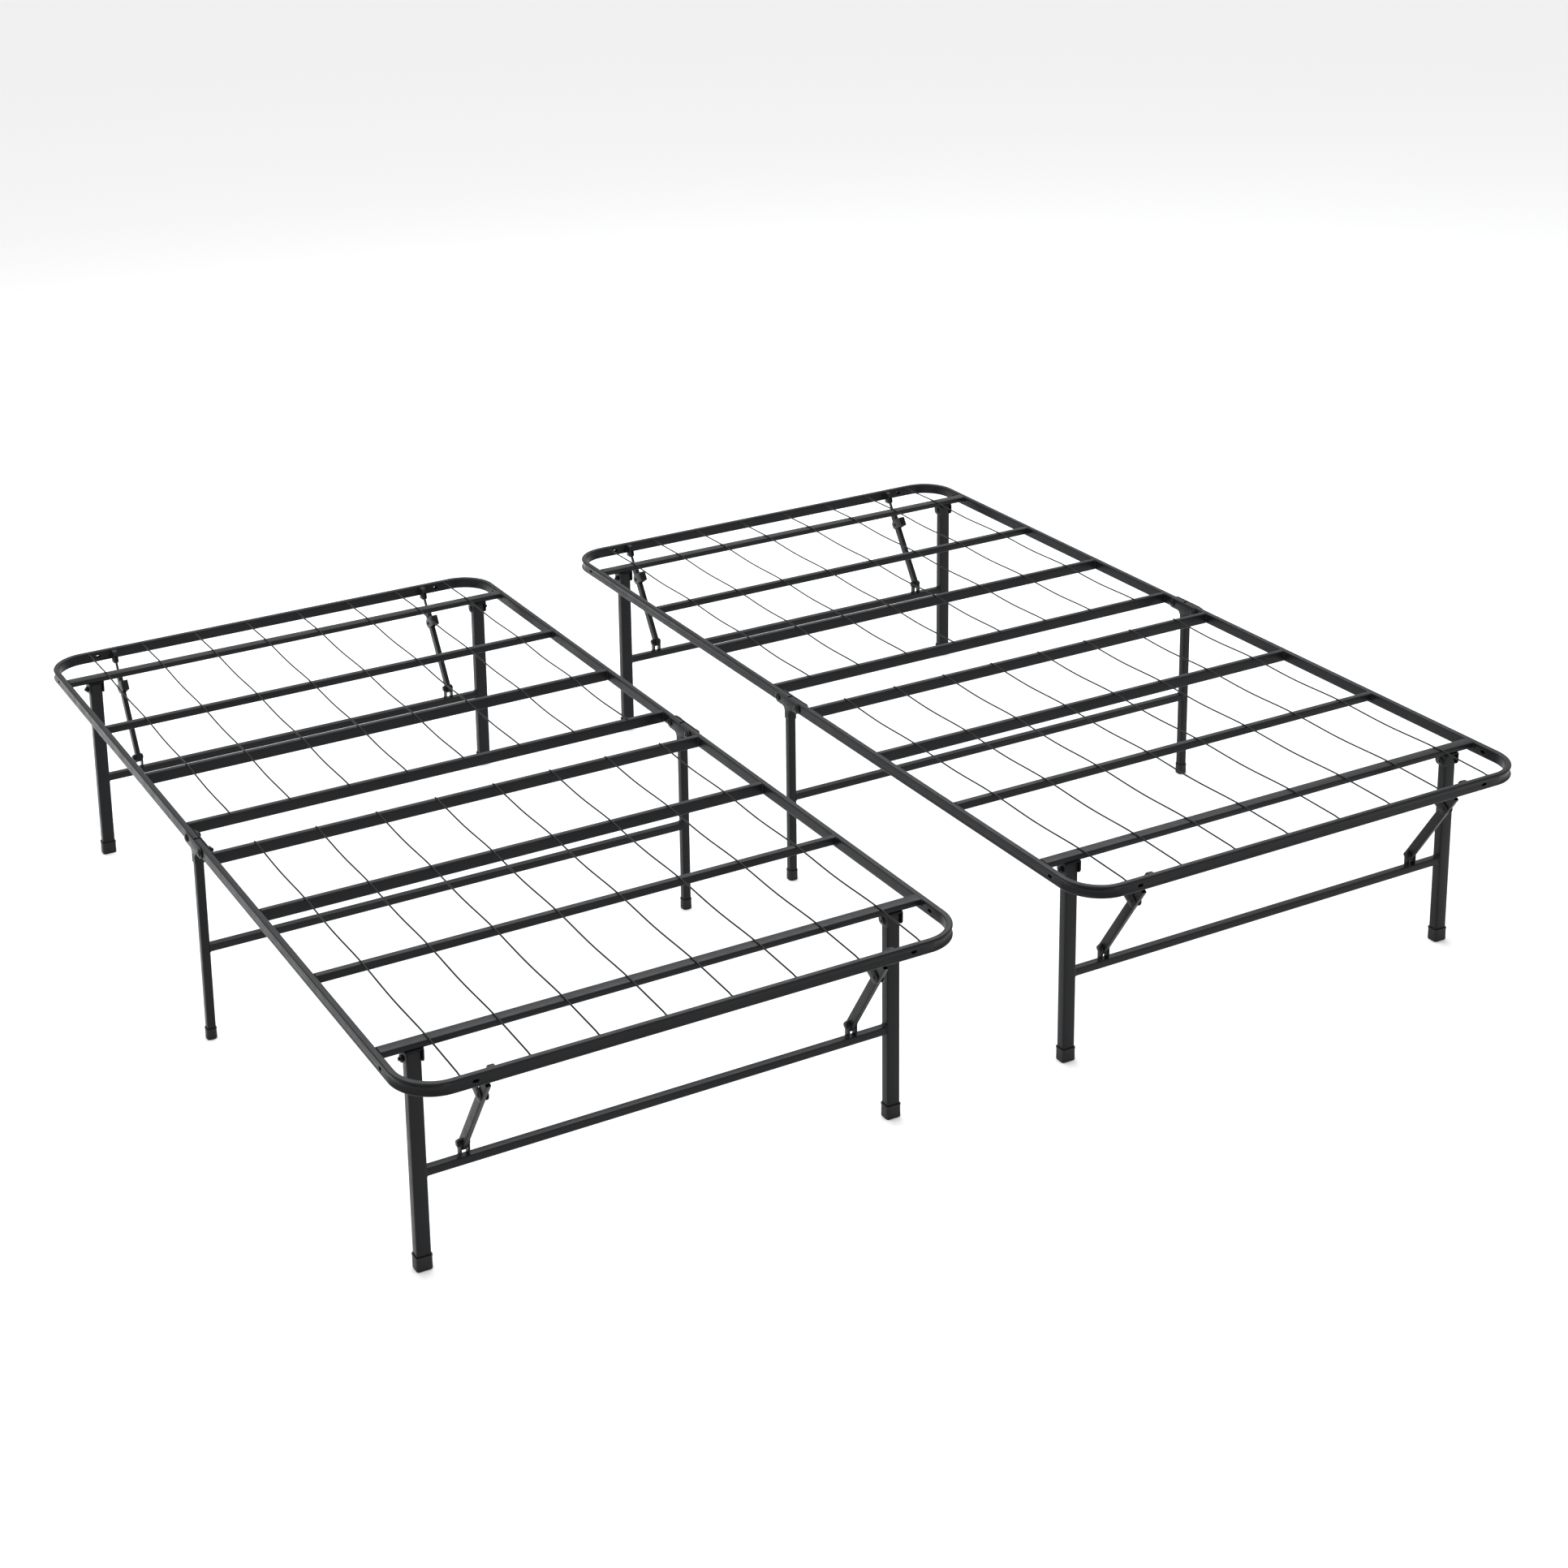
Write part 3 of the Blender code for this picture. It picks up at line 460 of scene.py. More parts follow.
def coated_material(name, coat, dusty, roughness, peel_scale, peel_height, gloss, metallic=0.0):
    """A coated finish: its colour clean and dusty, roughness, orange peel and gloss."""
    material = bpy.data.materials.new(name)
    material.use_nodes = True
    tree = material.node_tree
    shader = tree.nodes["Principled BSDF"]
    shader.inputs["Metallic"].default_value = metallic
    shader.inputs["Specular IOR Level"].default_value = gloss
    finish = tree.nodes.new("ShaderNodeGroup")
    finish.node_tree = coating
    finish.inputs["Coat"].default_value = (*coat, 1)
    finish.inputs["Dusty Coat"].default_value = (*dusty, 1)
    finish.inputs["Roughness"].default_value = roughness
    finish.inputs["Peel Scale"].default_value = peel_scale
    finish.inputs["Peel Height"].default_value = peel_height
    tree.links.new(finish.outputs["Colour"], shader.inputs["Base Color"])
    tree.links.new(finish.outputs["Sheen"], shader.inputs["Roughness"])
    tree.links.new(finish.outputs["Normal"], shader.inputs["Normal"])
    return material


coating = make_coating_group()
satin_coat = coated_material("satin_black_coat", (0.0046, 0.0050, 0.0060), (0.0090, 0.0093, 0.0102),
                             roughness=0.34, peel_scale=900.0, peel_height=0.00003, gloss=0.15)
wire_coat = coated_material("wire_black_coat", (0.0030, 0.0032, 0.0037), (0.0065, 0.0066, 0.0072),
                            roughness=0.36, peel_scale=1400.0, peel_height=0.00002, gloss=0.10)
weld_coat = coated_material("coated_weld", (0.0044, 0.0046, 0.0053), (0.0085, 0.0085, 0.0090),
                            roughness=0.32, peel_scale=600.0, peel_height=0.00007, gloss=0.18)
bolt_black = coated_material("blackened_bolt", (0.0075, 0.0075, 0.0082), (0.019, 0.018, 0.0165),
                             roughness=0.32, peel_scale=1100.0, peel_height=0.00002, gloss=0.22,
                             metallic=0.5)
cap_plastic = coated_material("moulded_black_plastic", (0.0052, 0.0050, 0.0048),
                              (0.0100, 0.0096, 0.0090), roughness=0.50,
                              peel_scale=2200.0, peel_height=0.00004, gloss=0.22)


# ---- Putting pieces in place ----

def finish_mesh(name, shape, material):
    mesh = bpy.data.meshes.new(name)
    shape.to_mesh(mesh)
    shape.free()
    mesh.materials.append(material)
    mesh.shade_smooth()
    mesh.set_sharp_from_angle(angle=math.radians(38))
    return mesh


def set_piece(name, mesh, matrix, body, stands_for=()):
    """A copy of a finished mesh, moved to its place, riding on its body."""
    own = mesh.copy()
    own.name = name
    own.transform(matrix)
    if matrix.determinant() < 0:
        own.flip_normals()
    piece = bpy.data.objects.new(name, own)
    bpy.context.scene.collection.objects.link(piece)
    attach(piece, body)
    if stands_for:
        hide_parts(*stands_for)
    return piece


def set_on_halves(name, shape, material, body, stands_for=()):
    """The far half's shape on all four halves. Names come without the bed and half in front."""
    mesh = finish_mesh(name, shape, material)
    for unit in UNITS:
        for half, outward in HALVES:
            prefix = unit + "_" + half + "_"
            matrix = Matrix.Translation((unit_x[unit], 0, 0)) @ Matrix.Diagonal((1, outward, 1, 1))
            set_piece(prefix + name, mesh, matrix, prefix + body,
                      [prefix + node for node in stands_for])


def set_on_middles(name, shape, material, stands_for=()):
    """One shape on the middle legs of both beds."""
    mesh = finish_mesh(name, shape, material)
    for unit in UNITS:
        set_piece(unit + "_" + name, mesh, Matrix.Translation((unit_x[unit], 0, 0)), unit + "_middle",
                  [unit + "_" + node for node in stands_for])


# ---- Deck ----

def slat_stations():
    """Where the slats lie, from the end to the middle; the gaps shrink towards the middle."""
    gaps = len(SLAT_WIDTHS) - 1
    span = leg_y - MIDDLE_SLAT_FROM_MIDDLE
    stations = [MIDDLE_SLAT_FROM_MIDDLE]
    for i in range(gaps):
        stations.insert(0, stations[0] + span / gaps + (i - (gaps - 1) / 2) * SLAT_GAP_GROWTH)
    return stations


stations = slat_stations()


def make_rail():
    """The side and end rail: one tube bent round both corners, dented outside each bend."""
    shape = rounded_face(RAIL_WIDTH, RAIL_HEIGHT, RAIL_CORNER)
    # The face that ends up outside the bend gets points to fold in
    outer = [edge for edge in shape.edges if all(vert.co.y < -RAIL_WIDTH * 0.49 for vert in edge.verts)]
    bmesh.ops.subdivide_edges(shape, edges=outer, cuts=9)
    move(shape, Matrix.Rotation(math.radians(90), 4, "Z"))
    shift(shape, -rail_x, RAIL_END_GAP, rail_middle)
    bmesh.ops.delete(shape, geom=shape.faces[:], context="FACES_ONLY")
    if sum(vert.co.x for vert in shape.verts) / len(shape.verts) > -rail_x:
        move(shape, Matrix.Translation((-2 * rail_x, 0, 0)) @ Matrix.Diagonal((-1, 1, 1, 1)))
    reach = BEND_RADIUS - RAIL_WIDTH / 2
    loop = shape.edges[:]

    def run(vector):
        pushed = bmesh.ops.extrude_edge_only(shape, edges=loop)["geom"]
        verts = [item for item in pushed if isinstance(item, bmesh.types.BMVert)]
        bmesh.ops.translate(shape, verts=verts, vec=vector)
        return [item for item in pushed if isinstance(item, bmesh.types.BMEdge)]

    def bend(centre):
        verts = list({vert for edge in loop for vert in edge.verts})
        turn = bmesh.ops.spin(shape, geom=verts + loop, cent=centre, axis=(0, 0, 1),
                              angle=math.radians(-90), steps=BEND_STEPS)["geom_last"]
        return [item for item in turn if isinstance(item, bmesh.types.BMEdge)]

    centre_x = rail_x - reach
    centre_y = rail_y - reach
    loop = run((0, centre_y - RAIL_END_GAP, 0))
    loop = bend((-centre_x, centre_y, 0))
    loop = run((2 * centre_x, 0, 0))
    loop = bend((centre_x, centre_y, 0))
    loop = run((0, RAIL_END_GAP - centre_y, 0))
    fold_in_bends(shape, centre_x, centre_y, reach)
    bmesh.ops.recalc_face_normals(shape, faces=shape.faces)
    bmesh.ops.solidify(shape, geom=shape.faces[:], thickness=TUBE_WALL)
    bmesh.ops.recalc_face_normals(shape, faces=shape.faces)
    return carve(shape, rail_cutters())


def fold_in_bends(shape, centre_x, centre_y, reach):
    """The groove that the outer wall takes as the tube is bent."""
    flat = RAIL_HEIGHT / 2 - RAIL_CORNER
    for vert in shape.verts:
        side = 1 if vert.co.x > 0 else -1
        off = Vector((vert.co.x - side * centre_x, vert.co.y - centre_y))
        if side * off.x < 0 or off.y < 0:
            continue
        outward = off.length - reach
        turn = math.atan2(off.y, side * off.x) / math.radians(90)
        if outward < RAIL_WIDTH * 0.45 or not 0 < turn < 1:
            continue
        across = min(1, abs(vert.co.z - rail_middle) / flat)
        depth = BEND_DENT * math.sin(math.pi * turn) ** 0.6 * (1 - across ** 2.4)
        off = off.normalized() * (off.length - depth)
        vert.co.x = side * centre_x + off.x
        vert.co.y = centre_y + off.y


def rail_cutters():
    """The oval slots near the corners and the bolt holes at the middle hinge."""
    reach = RAIL_WIDTH
    round_slot = SLOT_HEIGHT / 2 * ROUND_CUT
    round_hole = HINGE_HOLE / 2 * ROUND_CUT
    cutters = []
    for _, side in SIDES:
        x = side * (half_width - END_SLOT_FROM_SIDE)
        start = side * rail_x - reach
        end = side * rail_x + reach
        cutters.append(bar_y(SLOT_LENGTH, SLOT_HEIGHT, round_slot, rail_y - reach, rail_y + reach,
                             x, rail_middle))
        cutters.append(bar_x(SLOT_LENGTH, SLOT_HEIGHT, round_slot, start, end,
                             end_y - SIDE_SLOT_FROM_END, rail_middle))
        cutters.append(bar_x(HINGE_HOLE, HINGE_HOLE, round_hole, start, end, deck_hinge.y, rail_middle))
    return cutters


def make_slats():
    """The four tubes across each half, their tops level with the rail's."""
    reach = half_width - RAIL_WIDTH - FIT_GAP
    return together([bar_x(width, height, SLAT_CORNER, -reach, reach, y, deck_top - height / 2)
                     for y, width, height in zip(stations, SLAT_WIDTHS, SLAT_HEIGHTS)])


def slat_welds():
    """A bead down both sides and along the bottom of every slat end."""
    shapes = []
    for i, (y, width, height) in enumerate(zip(stations, SLAT_WIDTHS, SLAT_HEIGHTS)):
        low = max(deck_top - height, deck_top - RAIL_HEIGHT + RAIL_CORNER)
        high = deck_top - RAIL_CORNER * 0.7
        for _, side in SIDES:
            x = side * (half_width - RAIL_WIDTH - 0.0005)
            path = [Vector((x, y + width / 2, high)), Vector((x, y + width / 2, low)),
                    Vector((x, y - width / 2, low)), Vector((x, y - width / 2, high))]
            shapes.append(weld_bead(path, 0.0014, i + side))
    return together(shapes)


def wire_line():
    """Places along one wire, from the end rail to the middle slat: it dips a little between slats."""
    seat = deck_top + WIRE_RADIUS - WIRE_SEAT
    line = [(end_face - FIT_GAP - 0.0005, deck_top - WIRE_DROP_AT_RAIL),
            (end_face - 0.012, deck_top - WIRE_DROP_AT_RAIL * 0.55),
            (stations[0] + SLAT_WIDTHS[0] * 0.9, seat - 0.0004),
            (stations[0] + SLAT_WIDTHS[0] / 2, seat)]
    steps = 16
    for first, second in zip(stations, stations[1:]):
        for i in range(steps):
            share = i / steps
            dip = WIRE_SAG * math.sin(math.pi * share) ** 2
            line.append((first + (second - first) * share, seat - dip))
    return line + [(stations[-1], seat), (stations[-1] - SLAT_WIDTHS[-1] * 0.36, seat - 0.0004)]


def wire_places():
    outer = half_width - OUTER_WIRE_FROM_SIDE
    return [outer * (2 * i / (WIRE_COUNT - 1) - 1) for i in range(WIRE_COUNT)]


def make_wires():
    line = wire_line()
    radii = [WIRE_RADIUS] * len(line)
    return together([rod([(x, y, z) for y, z in line], radii) for x in wire_places()])


def spot_welds():
    """The squashed nugget where a wire is welded down on each slat and into the end rail."""
    shapes = []
    for x in wire_places():
        for i, y in enumerate(stations + [end_face - 0.0012]):
            nugget = bmesh.new()
            bmesh.ops.create_uvsphere(nugget, u_segments=10, v_segments=6, radius=1)
            height = deck_top if i < len(stations) else deck_top - WIRE_DROP_AT_RAIL
            size = (0.0026, 0.0024, 0.0011) if i < len(stations) else (0.0026, 0.0013, 0.0024)
            move(nugget, Matrix.Translation((x, y, height)) @ Matrix.Diagonal((*size, 1)))
            shapes.append(nugget)
    return together(shapes)


# ---- End legs ----

def leg_brackets():
    """The folded plate that each leg turns in: two cheeks and the strip that joins them."""
    top = deck_top - SLAT_HEIGHTS[0]
    low = leg_hinge.z - LEG_BRACKET_BELOW_PIVOT
    half = LEG_BRACKET_DEPTH / 2
    seam = top + 0.0002
    outline = [(leg_y + half, seam), (leg_y - half, seam), (leg_y - half, low), (leg_y + half, low)]
    rounding = (0, 0, LEG_BRACKET_CORNER, LEG_BRACKET_CORNER)
    gap = LEG_WIDTH / 2 + MOVING_GAP
    shapes = []
    for _, side in SIDES:
        x = side * leg_x
        for start in (x - gap - PLATE, x + gap):
            shapes.append(outline_plate(outline, rounding, start, PLATE))
        strip = bar_x(LEG_BRACKET_DEPTH, LEG_BRACKET_STRIP, 0, x - gap - PLATE, x + gap + PLATE, leg_y,
                      top - 0.0006)
        shapes.append(soften(strip, 0.0004))
    return together(shapes)


def leg_bracket_welds():
    top = deck_top - SLAT_HEIGHTS[0]
    reach = LEG_WIDTH / 2 + MOVING_GAP + PLATE
    half_bead = AXIS_Y * 0.010
    shapes = []
    for _, side in SIDES:
        for face in (-1, 1):
            middle = Vector((side * leg_x + face * reach, leg_y, top))
            shapes.append(weld_bead([middle - half_bead, middle + half_bead], BEAD_RADIUS, face))
    return together(shapes)


def leg_bolts():
    """The bolt that each leg turns on: head towards the middle of the bed, nut towards the side rail."""
    reach = LEG_WIDTH / 2 + MOVING_GAP + PLATE
    thread_start = 0.0045
    shapes = []
    for _, side in SIDES:
        inner = side * leg_x - side * reach
        outer = side * leg_x + side * reach
        thread = outer + side * thread_start
        shapes.append(dome_head(inner, -side, LEG_BOLT_HEAD, 0.0029, leg_y, leg_hinge.z))
        shapes.append(hex_nut(outer, side, LEG_BOLT_NUT, 0.0048, leg_y, leg_hinge.z))
        shapes.append(thread_end(thread, side, PIN_RADIUS, 0.0030, leg_y, leg_hinge.z))
    return together(shapes)


def make_leg_tubes():
    """The end leg frame: two open tubes and the bar across them."""
    low = FOOT_FLOOR + FIT_GAP
    high = leg_hinge.z + LEG_TOP_ABOVE_PIVOT
    tubes = []
    for _, side in SIDES:
        leg = bar_z(LEG_WIDTH, LEG_DEPTH, LEG_CORNER, low, high, side * leg_x, leg_y)
        tubes.append(open_ends(leg, AXIS_Z, TUBE_WALL))
    reach = leg_x - LEG_WIDTH / 2
    tubes.append(bar_x(CROSSBAR_DEPTH, CROSSBAR_HEIGHT, CROSSBAR_CORNER, -reach, reach, leg_y,
                       end_bar_top - CROSSBAR_HEIGHT / 2))
    return together(tubes)


def bar_end_ring(x, y, top, phase):
    """Weld bead all round a crossbar's end."""
    flat_y = CROSSBAR_DEPTH / 2 - CROSSBAR_CORNER
    flat_z = CROSSBAR_HEIGHT / 2 - CROSSBAR_CORNER
    middle = Vector((x, y, top - CROSSBAR_HEIGHT / 2))
    path = []
    for turn in range(0, 361, 30):
        out_y = math.cos(math.radians(turn))
        out_z = math.sin(math.radians(turn))
        side_y = math.copysign(flat_y, out_y) if abs(out_y) > 0.01 else 0
        side_z = math.copysign(flat_z, out_z) if abs(out_z) > 0.01 else 0
        round_corner = Vector((0, out_y, out_z)) * CROSSBAR_CORNER
        path.append(middle + Vector((0, side_y, side_z)) + round_corner)
    return weld_bead(path, BEAD_RADIUS, phase)


def end_leg_welds():
    """Beads round the crossbar's ends and along the clevis cheeks."""
    reach = leg_x - LEG_WIDTH / 2
    outer = CLEVIS_GAP / 2 + CLEVIS_PLATE
    half_bead = AXIS_Y * 0.0055
    shapes = [bar_end_ring(side * reach, leg_y, end_bar_top, side) for _, side in SIDES]
    for _, side in SIDES:
        for face in (-1, 1):
            middle = Vector((side * brace_x + face * outer, leg_y, end_bar_top))
            shapes.append(weld_bead([middle - half_bead, middle + half_bead], PLATE_BEAD_RADIUS, face))
    return together(shapes)


def make_clevises():
    """Two cheeks on the crossbar that hold the foot of each brace."""
    half = CLEVIS_DEPTH / 2
    rise = clevis_pin.z + half
    low = end_bar_top - 0.0004
    outline = [(leg_y - half, low), (leg_y + half, low), (leg_y + half, rise), (leg_y - half, rise)]
    rounding = (0.0006, 0.0006, half * FULL_ROUND, half * FULL_ROUND)
    shapes = []
    for _, side in SIDES:
        x = side * brace_x
        for start in (x + CLEVIS_GAP / 2, x - CLEVIS_GAP / 2 - CLEVIS_PLATE):
            shapes.append(outline_plate(outline, rounding, start, CLEVIS_PLATE))
    return together(shapes)


def clevis_bolts():
    outer = CLEVIS_GAP / 2 + CLEVIS_PLATE
    shapes = []
    for _, side in SIDES:
        x = side * brace_x
        shapes.append(pin(x - outer, x + outer, PIN_RADIUS, leg_y, clevis_pin.z))
        shapes.append(hex_nut(x - outer, -1, CLEVIS_BOLT_NUT, 0.0040, leg_y, clevis_pin.z))
        shapes.append(dome_head(x + outer, 1, CLEVIS_BOLT_HEAD, 0.0022, leg_y, clevis_pin.z))
    return together(shapes)


def foot_cap(x, y, width, depth, height, corner):
    """Moulded cap: rounded base, slight taper, and a lip round its mouth."""
    shape = rounded_face(depth, width, corner, 6)
    move(shape, Matrix.Rotation(math.radians(-90), 4, "Y"))
    lip = 0.0032
    # Levels up the cap, each with its share of the full width
    steps = [(0.0, 0.90), (0.0006, 0.945), (0.0020, 0.965), (height - lip - 0.0006, 0.955),
             (height - lip, 0.985), (height - 0.0007, 1.0), (height, 0.985)]
    bmesh.ops.scale(shape, vec=(steps[0][1], steps[0][1], 1), verts=shape.verts)
    last = shape.faces[:]
    for (level, size), (next_level, next_size) in zip(steps, steps[1:]):
        pushed = bmesh.ops.extrude_face_region(shape, geom=last)["geom"]
        verts = [item for item in pushed if isinstance(item, bmesh.types.BMVert)]
        last = [item for item in pushed if isinstance(item, bmesh.types.BMFace)]
        bmesh.ops.translate(shape, verts=verts, vec=(0, 0, next_level - level))
        bmesh.ops.scale(shape, vec=(next_size / size, next_size / size, 1), verts=verts)
    bmesh.ops.inset_region(shape, faces=last, thickness=FOOT_WALL - FIT_GAP, depth=0)
    bmesh.ops.translate(shape, verts=list({vert for face in last for vert in face.verts}),
                        vec=(0, 0, FOOT_FLOOR - height))
    bmesh.ops.recalc_face_normals(shape, faces=shape.faces)
    return shift(shape, x, y, 0)


# ---- Middle legs ----

def make_middle_tubes():
    """The middle leg frame: two open tubes and the bar across them."""
    low = FOOT_FLOOR + FIT_GAP
    high = rail_middle - RAIL_HEIGHT / 2 - MID_LEG_TOP_GAP
    tubes = []
    for _, side in SIDES:
        leg = bar_z(MID_LEG_WIDTH, MID_LEG_WIDTH, MID_LEG_CORNER, low, high, side * rail_x, 0)
        tubes.append(open_ends(leg, AXIS_Z, TUBE_WALL))
    reach = rail_x - MID_LEG_WIDTH / 2
    tubes.append(bar_x(CROSSBAR_DEPTH, CROSSBAR_HEIGHT, CROSSBAR_CORNER, -reach, reach, 0,
                       MID_CROSSBAR_TOP - CROSSBAR_HEIGHT / 2))
    return together(tubes)


def hinge_plates():
    """The plates on both sides of each side rail: round-ended bars with a stem welded down the leg."""
    radius = HINGE_PLATE_RADIUS
    reach = deck_hinge.y + radius
    stem = STEM_HALF_WIDTH
    shoulder = stem * 1.9
    low = -RAIL_HEIGHT / 2 - STEM_BELOW_RAIL
    outline = [(-reach, radius), (reach, radius), (reach, -radius), (shoulder, -radius),
               (stem, -radius - 0.010), (stem, low), (-stem, low), (-stem, -radius - 0.010),
               (-shoulder, -radius), (-reach, -radius)]
    outline = [(y, rail_middle + z) for y, z in outline]
    end = radius * FULL_ROUND
    rounding = (end, end, end, 0.004, 0.004, 0.0015, 0.0015, 0.004, 0.004, end)
    gap = RAIL_WIDTH / 2 + MOVING_GAP
    shapes = []
    for _, side in SIDES:
        for start in (side * rail_x + gap, side * rail_x - gap - PLATE):
            shapes.append(outline_plate(outline, rounding, start, PLATE))
    return together(shapes)


def middle_welds():
    """Beads round the crossbar's ends and down both edges of the plates' stems."""
    reach = rail_x - MID_LEG_WIDTH / 2
    low = rail_middle - RAIL_HEIGHT / 2 - STEM_BELOW_RAIL
    bead_y = STEM_HALF_WIDTH - 0.0002
    shapes = [bar_end_ring(side * reach, 0, MID_CROSSBAR_TOP, side) for _, side in SIDES]
    for _, side in SIDES:
        for face in (-1, 1):
            x = side * rail_x + face * (MID_LEG_WIDTH / 2)
            for y in (-bead_y, bead_y):
                bead = [Vector((x, y, low + 0.001)), Vector((x, y, low + 0.016))]
                shapes.append(weld_bead(bead, 0.0011, face))
    return together(shapes)


def hinge_bolts(half_y):
    """Heads on the left of both side rails, nuts and thread ends on the right."""
    reach = RAIL_WIDTH / 2 + MOVING_GAP + PLATE + FIT_GAP
    thread_start = 0.0055
    bolts = []
    for _, side in SIDES:
        x = side * rail_x
        nut_face = x + reach
        collar = [(0.0050, TIP), (0.0050, 0.0058), (0.0060, 0.0054), (0.0062, 0.0040), (0.0062, TIP)]
        collar = [(nut_face + away, radius) for away, radius in collar]
        bolts.append(together([
            dome_head(x - reach, -1, HINGE_BOLT_HEAD, 0.0029, half_y, rail_middle),
            hex_nut(nut_face, 1, HINGE_BOLT_NUT, 0.0052, half_y, rail_middle),
            turned(collar, half_y, rail_middle, 24),
            pin(x - reach, nut_face, HINGE_BOLT_RADIUS, half_y, rail_middle),
            thread_end(nut_face + thread_start, 1, 0.0037, 0.0034, half_y, rail_middle)]))
    return bolts


# ---- Braces ----

brace_line = rail_pin - clevis_pin
brace_length = brace_line.length
along = brace_line.normalized()
lean = Matrix.Rotation(-math.atan2(along.y, along.z), 4, "X")
latch_place = (latch_pivot - Vector((latch_pivot.x, clevis_pin.y, clevis_pin.z))).length


def on_brace(shape, x):
    """Stand a shape, made upright from the lower pin, along the brace."""
    return move(shape, Matrix.Translation((x, clevis_pin.y, clevis_pin.z)) @ lean)


def bracket_side(shrink, x, thickness):
    """The rail bracket's side: a narrow round top by the rail and a round eye about the pin."""
    face = end_face + 0.0003 + shrink
    top = deck_top - RAIL_BRACKET_BELOW_TOP - shrink
    low = rail_pin.z - RAIL_BRACKET_EYE - shrink
    back = rail_pin.y - RAIL_BRACKET_EYE - shrink
    points = [(face, low), (face, top), (end_face - RAIL_BRACKET_TOP_DEPTH + shrink, top),
              (back, rail_pin.z + 0.003), (back, low)]
    rounding = (0.0004, 0.0004, 0.0045 - shrink, 0.005, 0.007)
    return outline_plate(points, rounding, x, thickness)


def rail_brackets():
    """Folded strap inside the end rail, for the top of each brace."""
    gap = BRACE_BAR_THICKNESS / 2 + MOVING_GAP
    reach = gap + PLATE
    shapes = []
    for _, side in SIDES:
        x = side * brace_x
        strap = soften(bracket_side(0, x - reach, 2 * reach), 0.0006)
        shapes.append(carve(strap, [bracket_side(PLATE, x - gap, 2 * gap)]))
    return together(shapes)


def rail_bracket_welds():
    reach = BRACE_BAR_THICKNESS / 2 + MOVING_GAP + PLATE
    low = rail_middle - RAIL_HEIGHT / 2 + RAIL_CORNER
    rise = AXIS_Z * (RAIL_HEIGHT - 2 * RAIL_CORNER)
    shapes = []
    for _, side in SIDES:
        for face in (-1, 1):
            foot = Vector((side * brace_x + face * reach, end_face, low))
            shapes.append(weld_bead([foot, foot + rise], PLATE_BEAD_RADIUS, face))
    return together(shapes)


def rail_bracket_rivets():
    reach = BRACE_BAR_THICKNESS / 2 + MOVING_GAP + PLATE
    shapes = []
    for _, side in SIDES:
        x = side * brace_x
        shapes.append(pin(x - reach, x + reach, PIN_RADIUS, rail_pin.y, rail_pin.z))
        shapes.append(dome_head(x - reach, -1, PIN_HEAD, 0.0016, rail_pin.y, rail_pin.z))
        shapes.append(dome_head(x + reach, 1, PIN_HEAD, 0.0014, rail_pin.y, rail_pin.z))
    return together(shapes)


def brace_bar(x):
    """Narrow flat bar that slides in the tube, its wider eye on the rail bracket's pin."""
    half = BRACE_BAR_THICKNESS / 2
    across = AXIS_X * BRACE_BAR_THICKNESS
    strip = thicken(rounded_face(BRACE_BAR_DEPTH, BRACE_BAR_LENGTH, 0.001, 3), across)
    shift(strip, -half, 0, brace_length - BRACE_BAR_LENGTH / 2)
    width = 2 * BRACE_EYE_RADIUS
    eye = thicken(rounded_face(width, width, BRACE_EYE_RADIUS * FULL_ROUND, 10), across)
    shift(eye, -half, 0, brace_length)
    return on_brace(together([soften(strip, 0.0004), soften(eye, 0.0004)]), x)


def brace_tube(x):
    """Flat tube from below the clevis pin to just short of the rail bracket."""
    shape = bar_z(BRACE_TUBE_WIDTH, BRACE_TUBE_DEPTH, 0.0018, -BRACE_TUBE_TAIL,
                  brace_length - BRACE_TUBE_SHORT_OF_PIN, 0, 0)
    return on_brace(open_ends(shape, AXIS_Z, TUBE_WALL), x)


def latch_side(radius, reach, x, thickness):
    """The latch channel's side: round about the rivet, straight towards the bed's middle."""
    points = [(radius, latch_place + radius), (radius, latch_place - radius),
              (-reach, latch_place - radius), (-reach, latch_place + radius)]
    rounding = (radius * FULL_ROUND, radius * FULL_ROUND, 0.002, 0.002)
    return outline_plate(points, rounding, x, thickness)


def latch_lever(x):
    """Pressed channel astride the tube on two rivets, with ribs across its grip."""
    inner = BRACE_TUBE_WIDTH / 2 + MOVING_GAP
    outer = inner + PLATE
    block = soften(latch_side(LATCH_RADIUS, LATCH_REACH, -outer, 2 * outer), 0.0007, 3)
    shapes = [carve(block, [latch_side(LATCH_RADIUS * 2, LATCH_REACH - PLATE, -inner, 2 * inner)])]
    rib_reach = outer - 0.001
    for i in range(LATCH_RIBS):
        z = latch_place + (i - (LATCH_RIBS - 1) / 2) * LATCH_RIB_SPACING
        shapes.append(bar_x(LATCH_RIB, LATCH_RIB, 0.0005, -rib_reach, rib_reach, -LATCH_REACH, z))
    for face in (-1, 1):
        wall = face * (BRACE_TUBE_WIDTH / 2 - TUBE_WALL)
        shapes.append(pin(wall, face * outer, LATCH_PIN_RADIUS, 0, latch_place, 16))
        shapes.append(dome_head(face * outer, face, 0.0042, 0.0016, 0, latch_place))
    return on_brace(together(shapes), x)


# ---- The bed ----

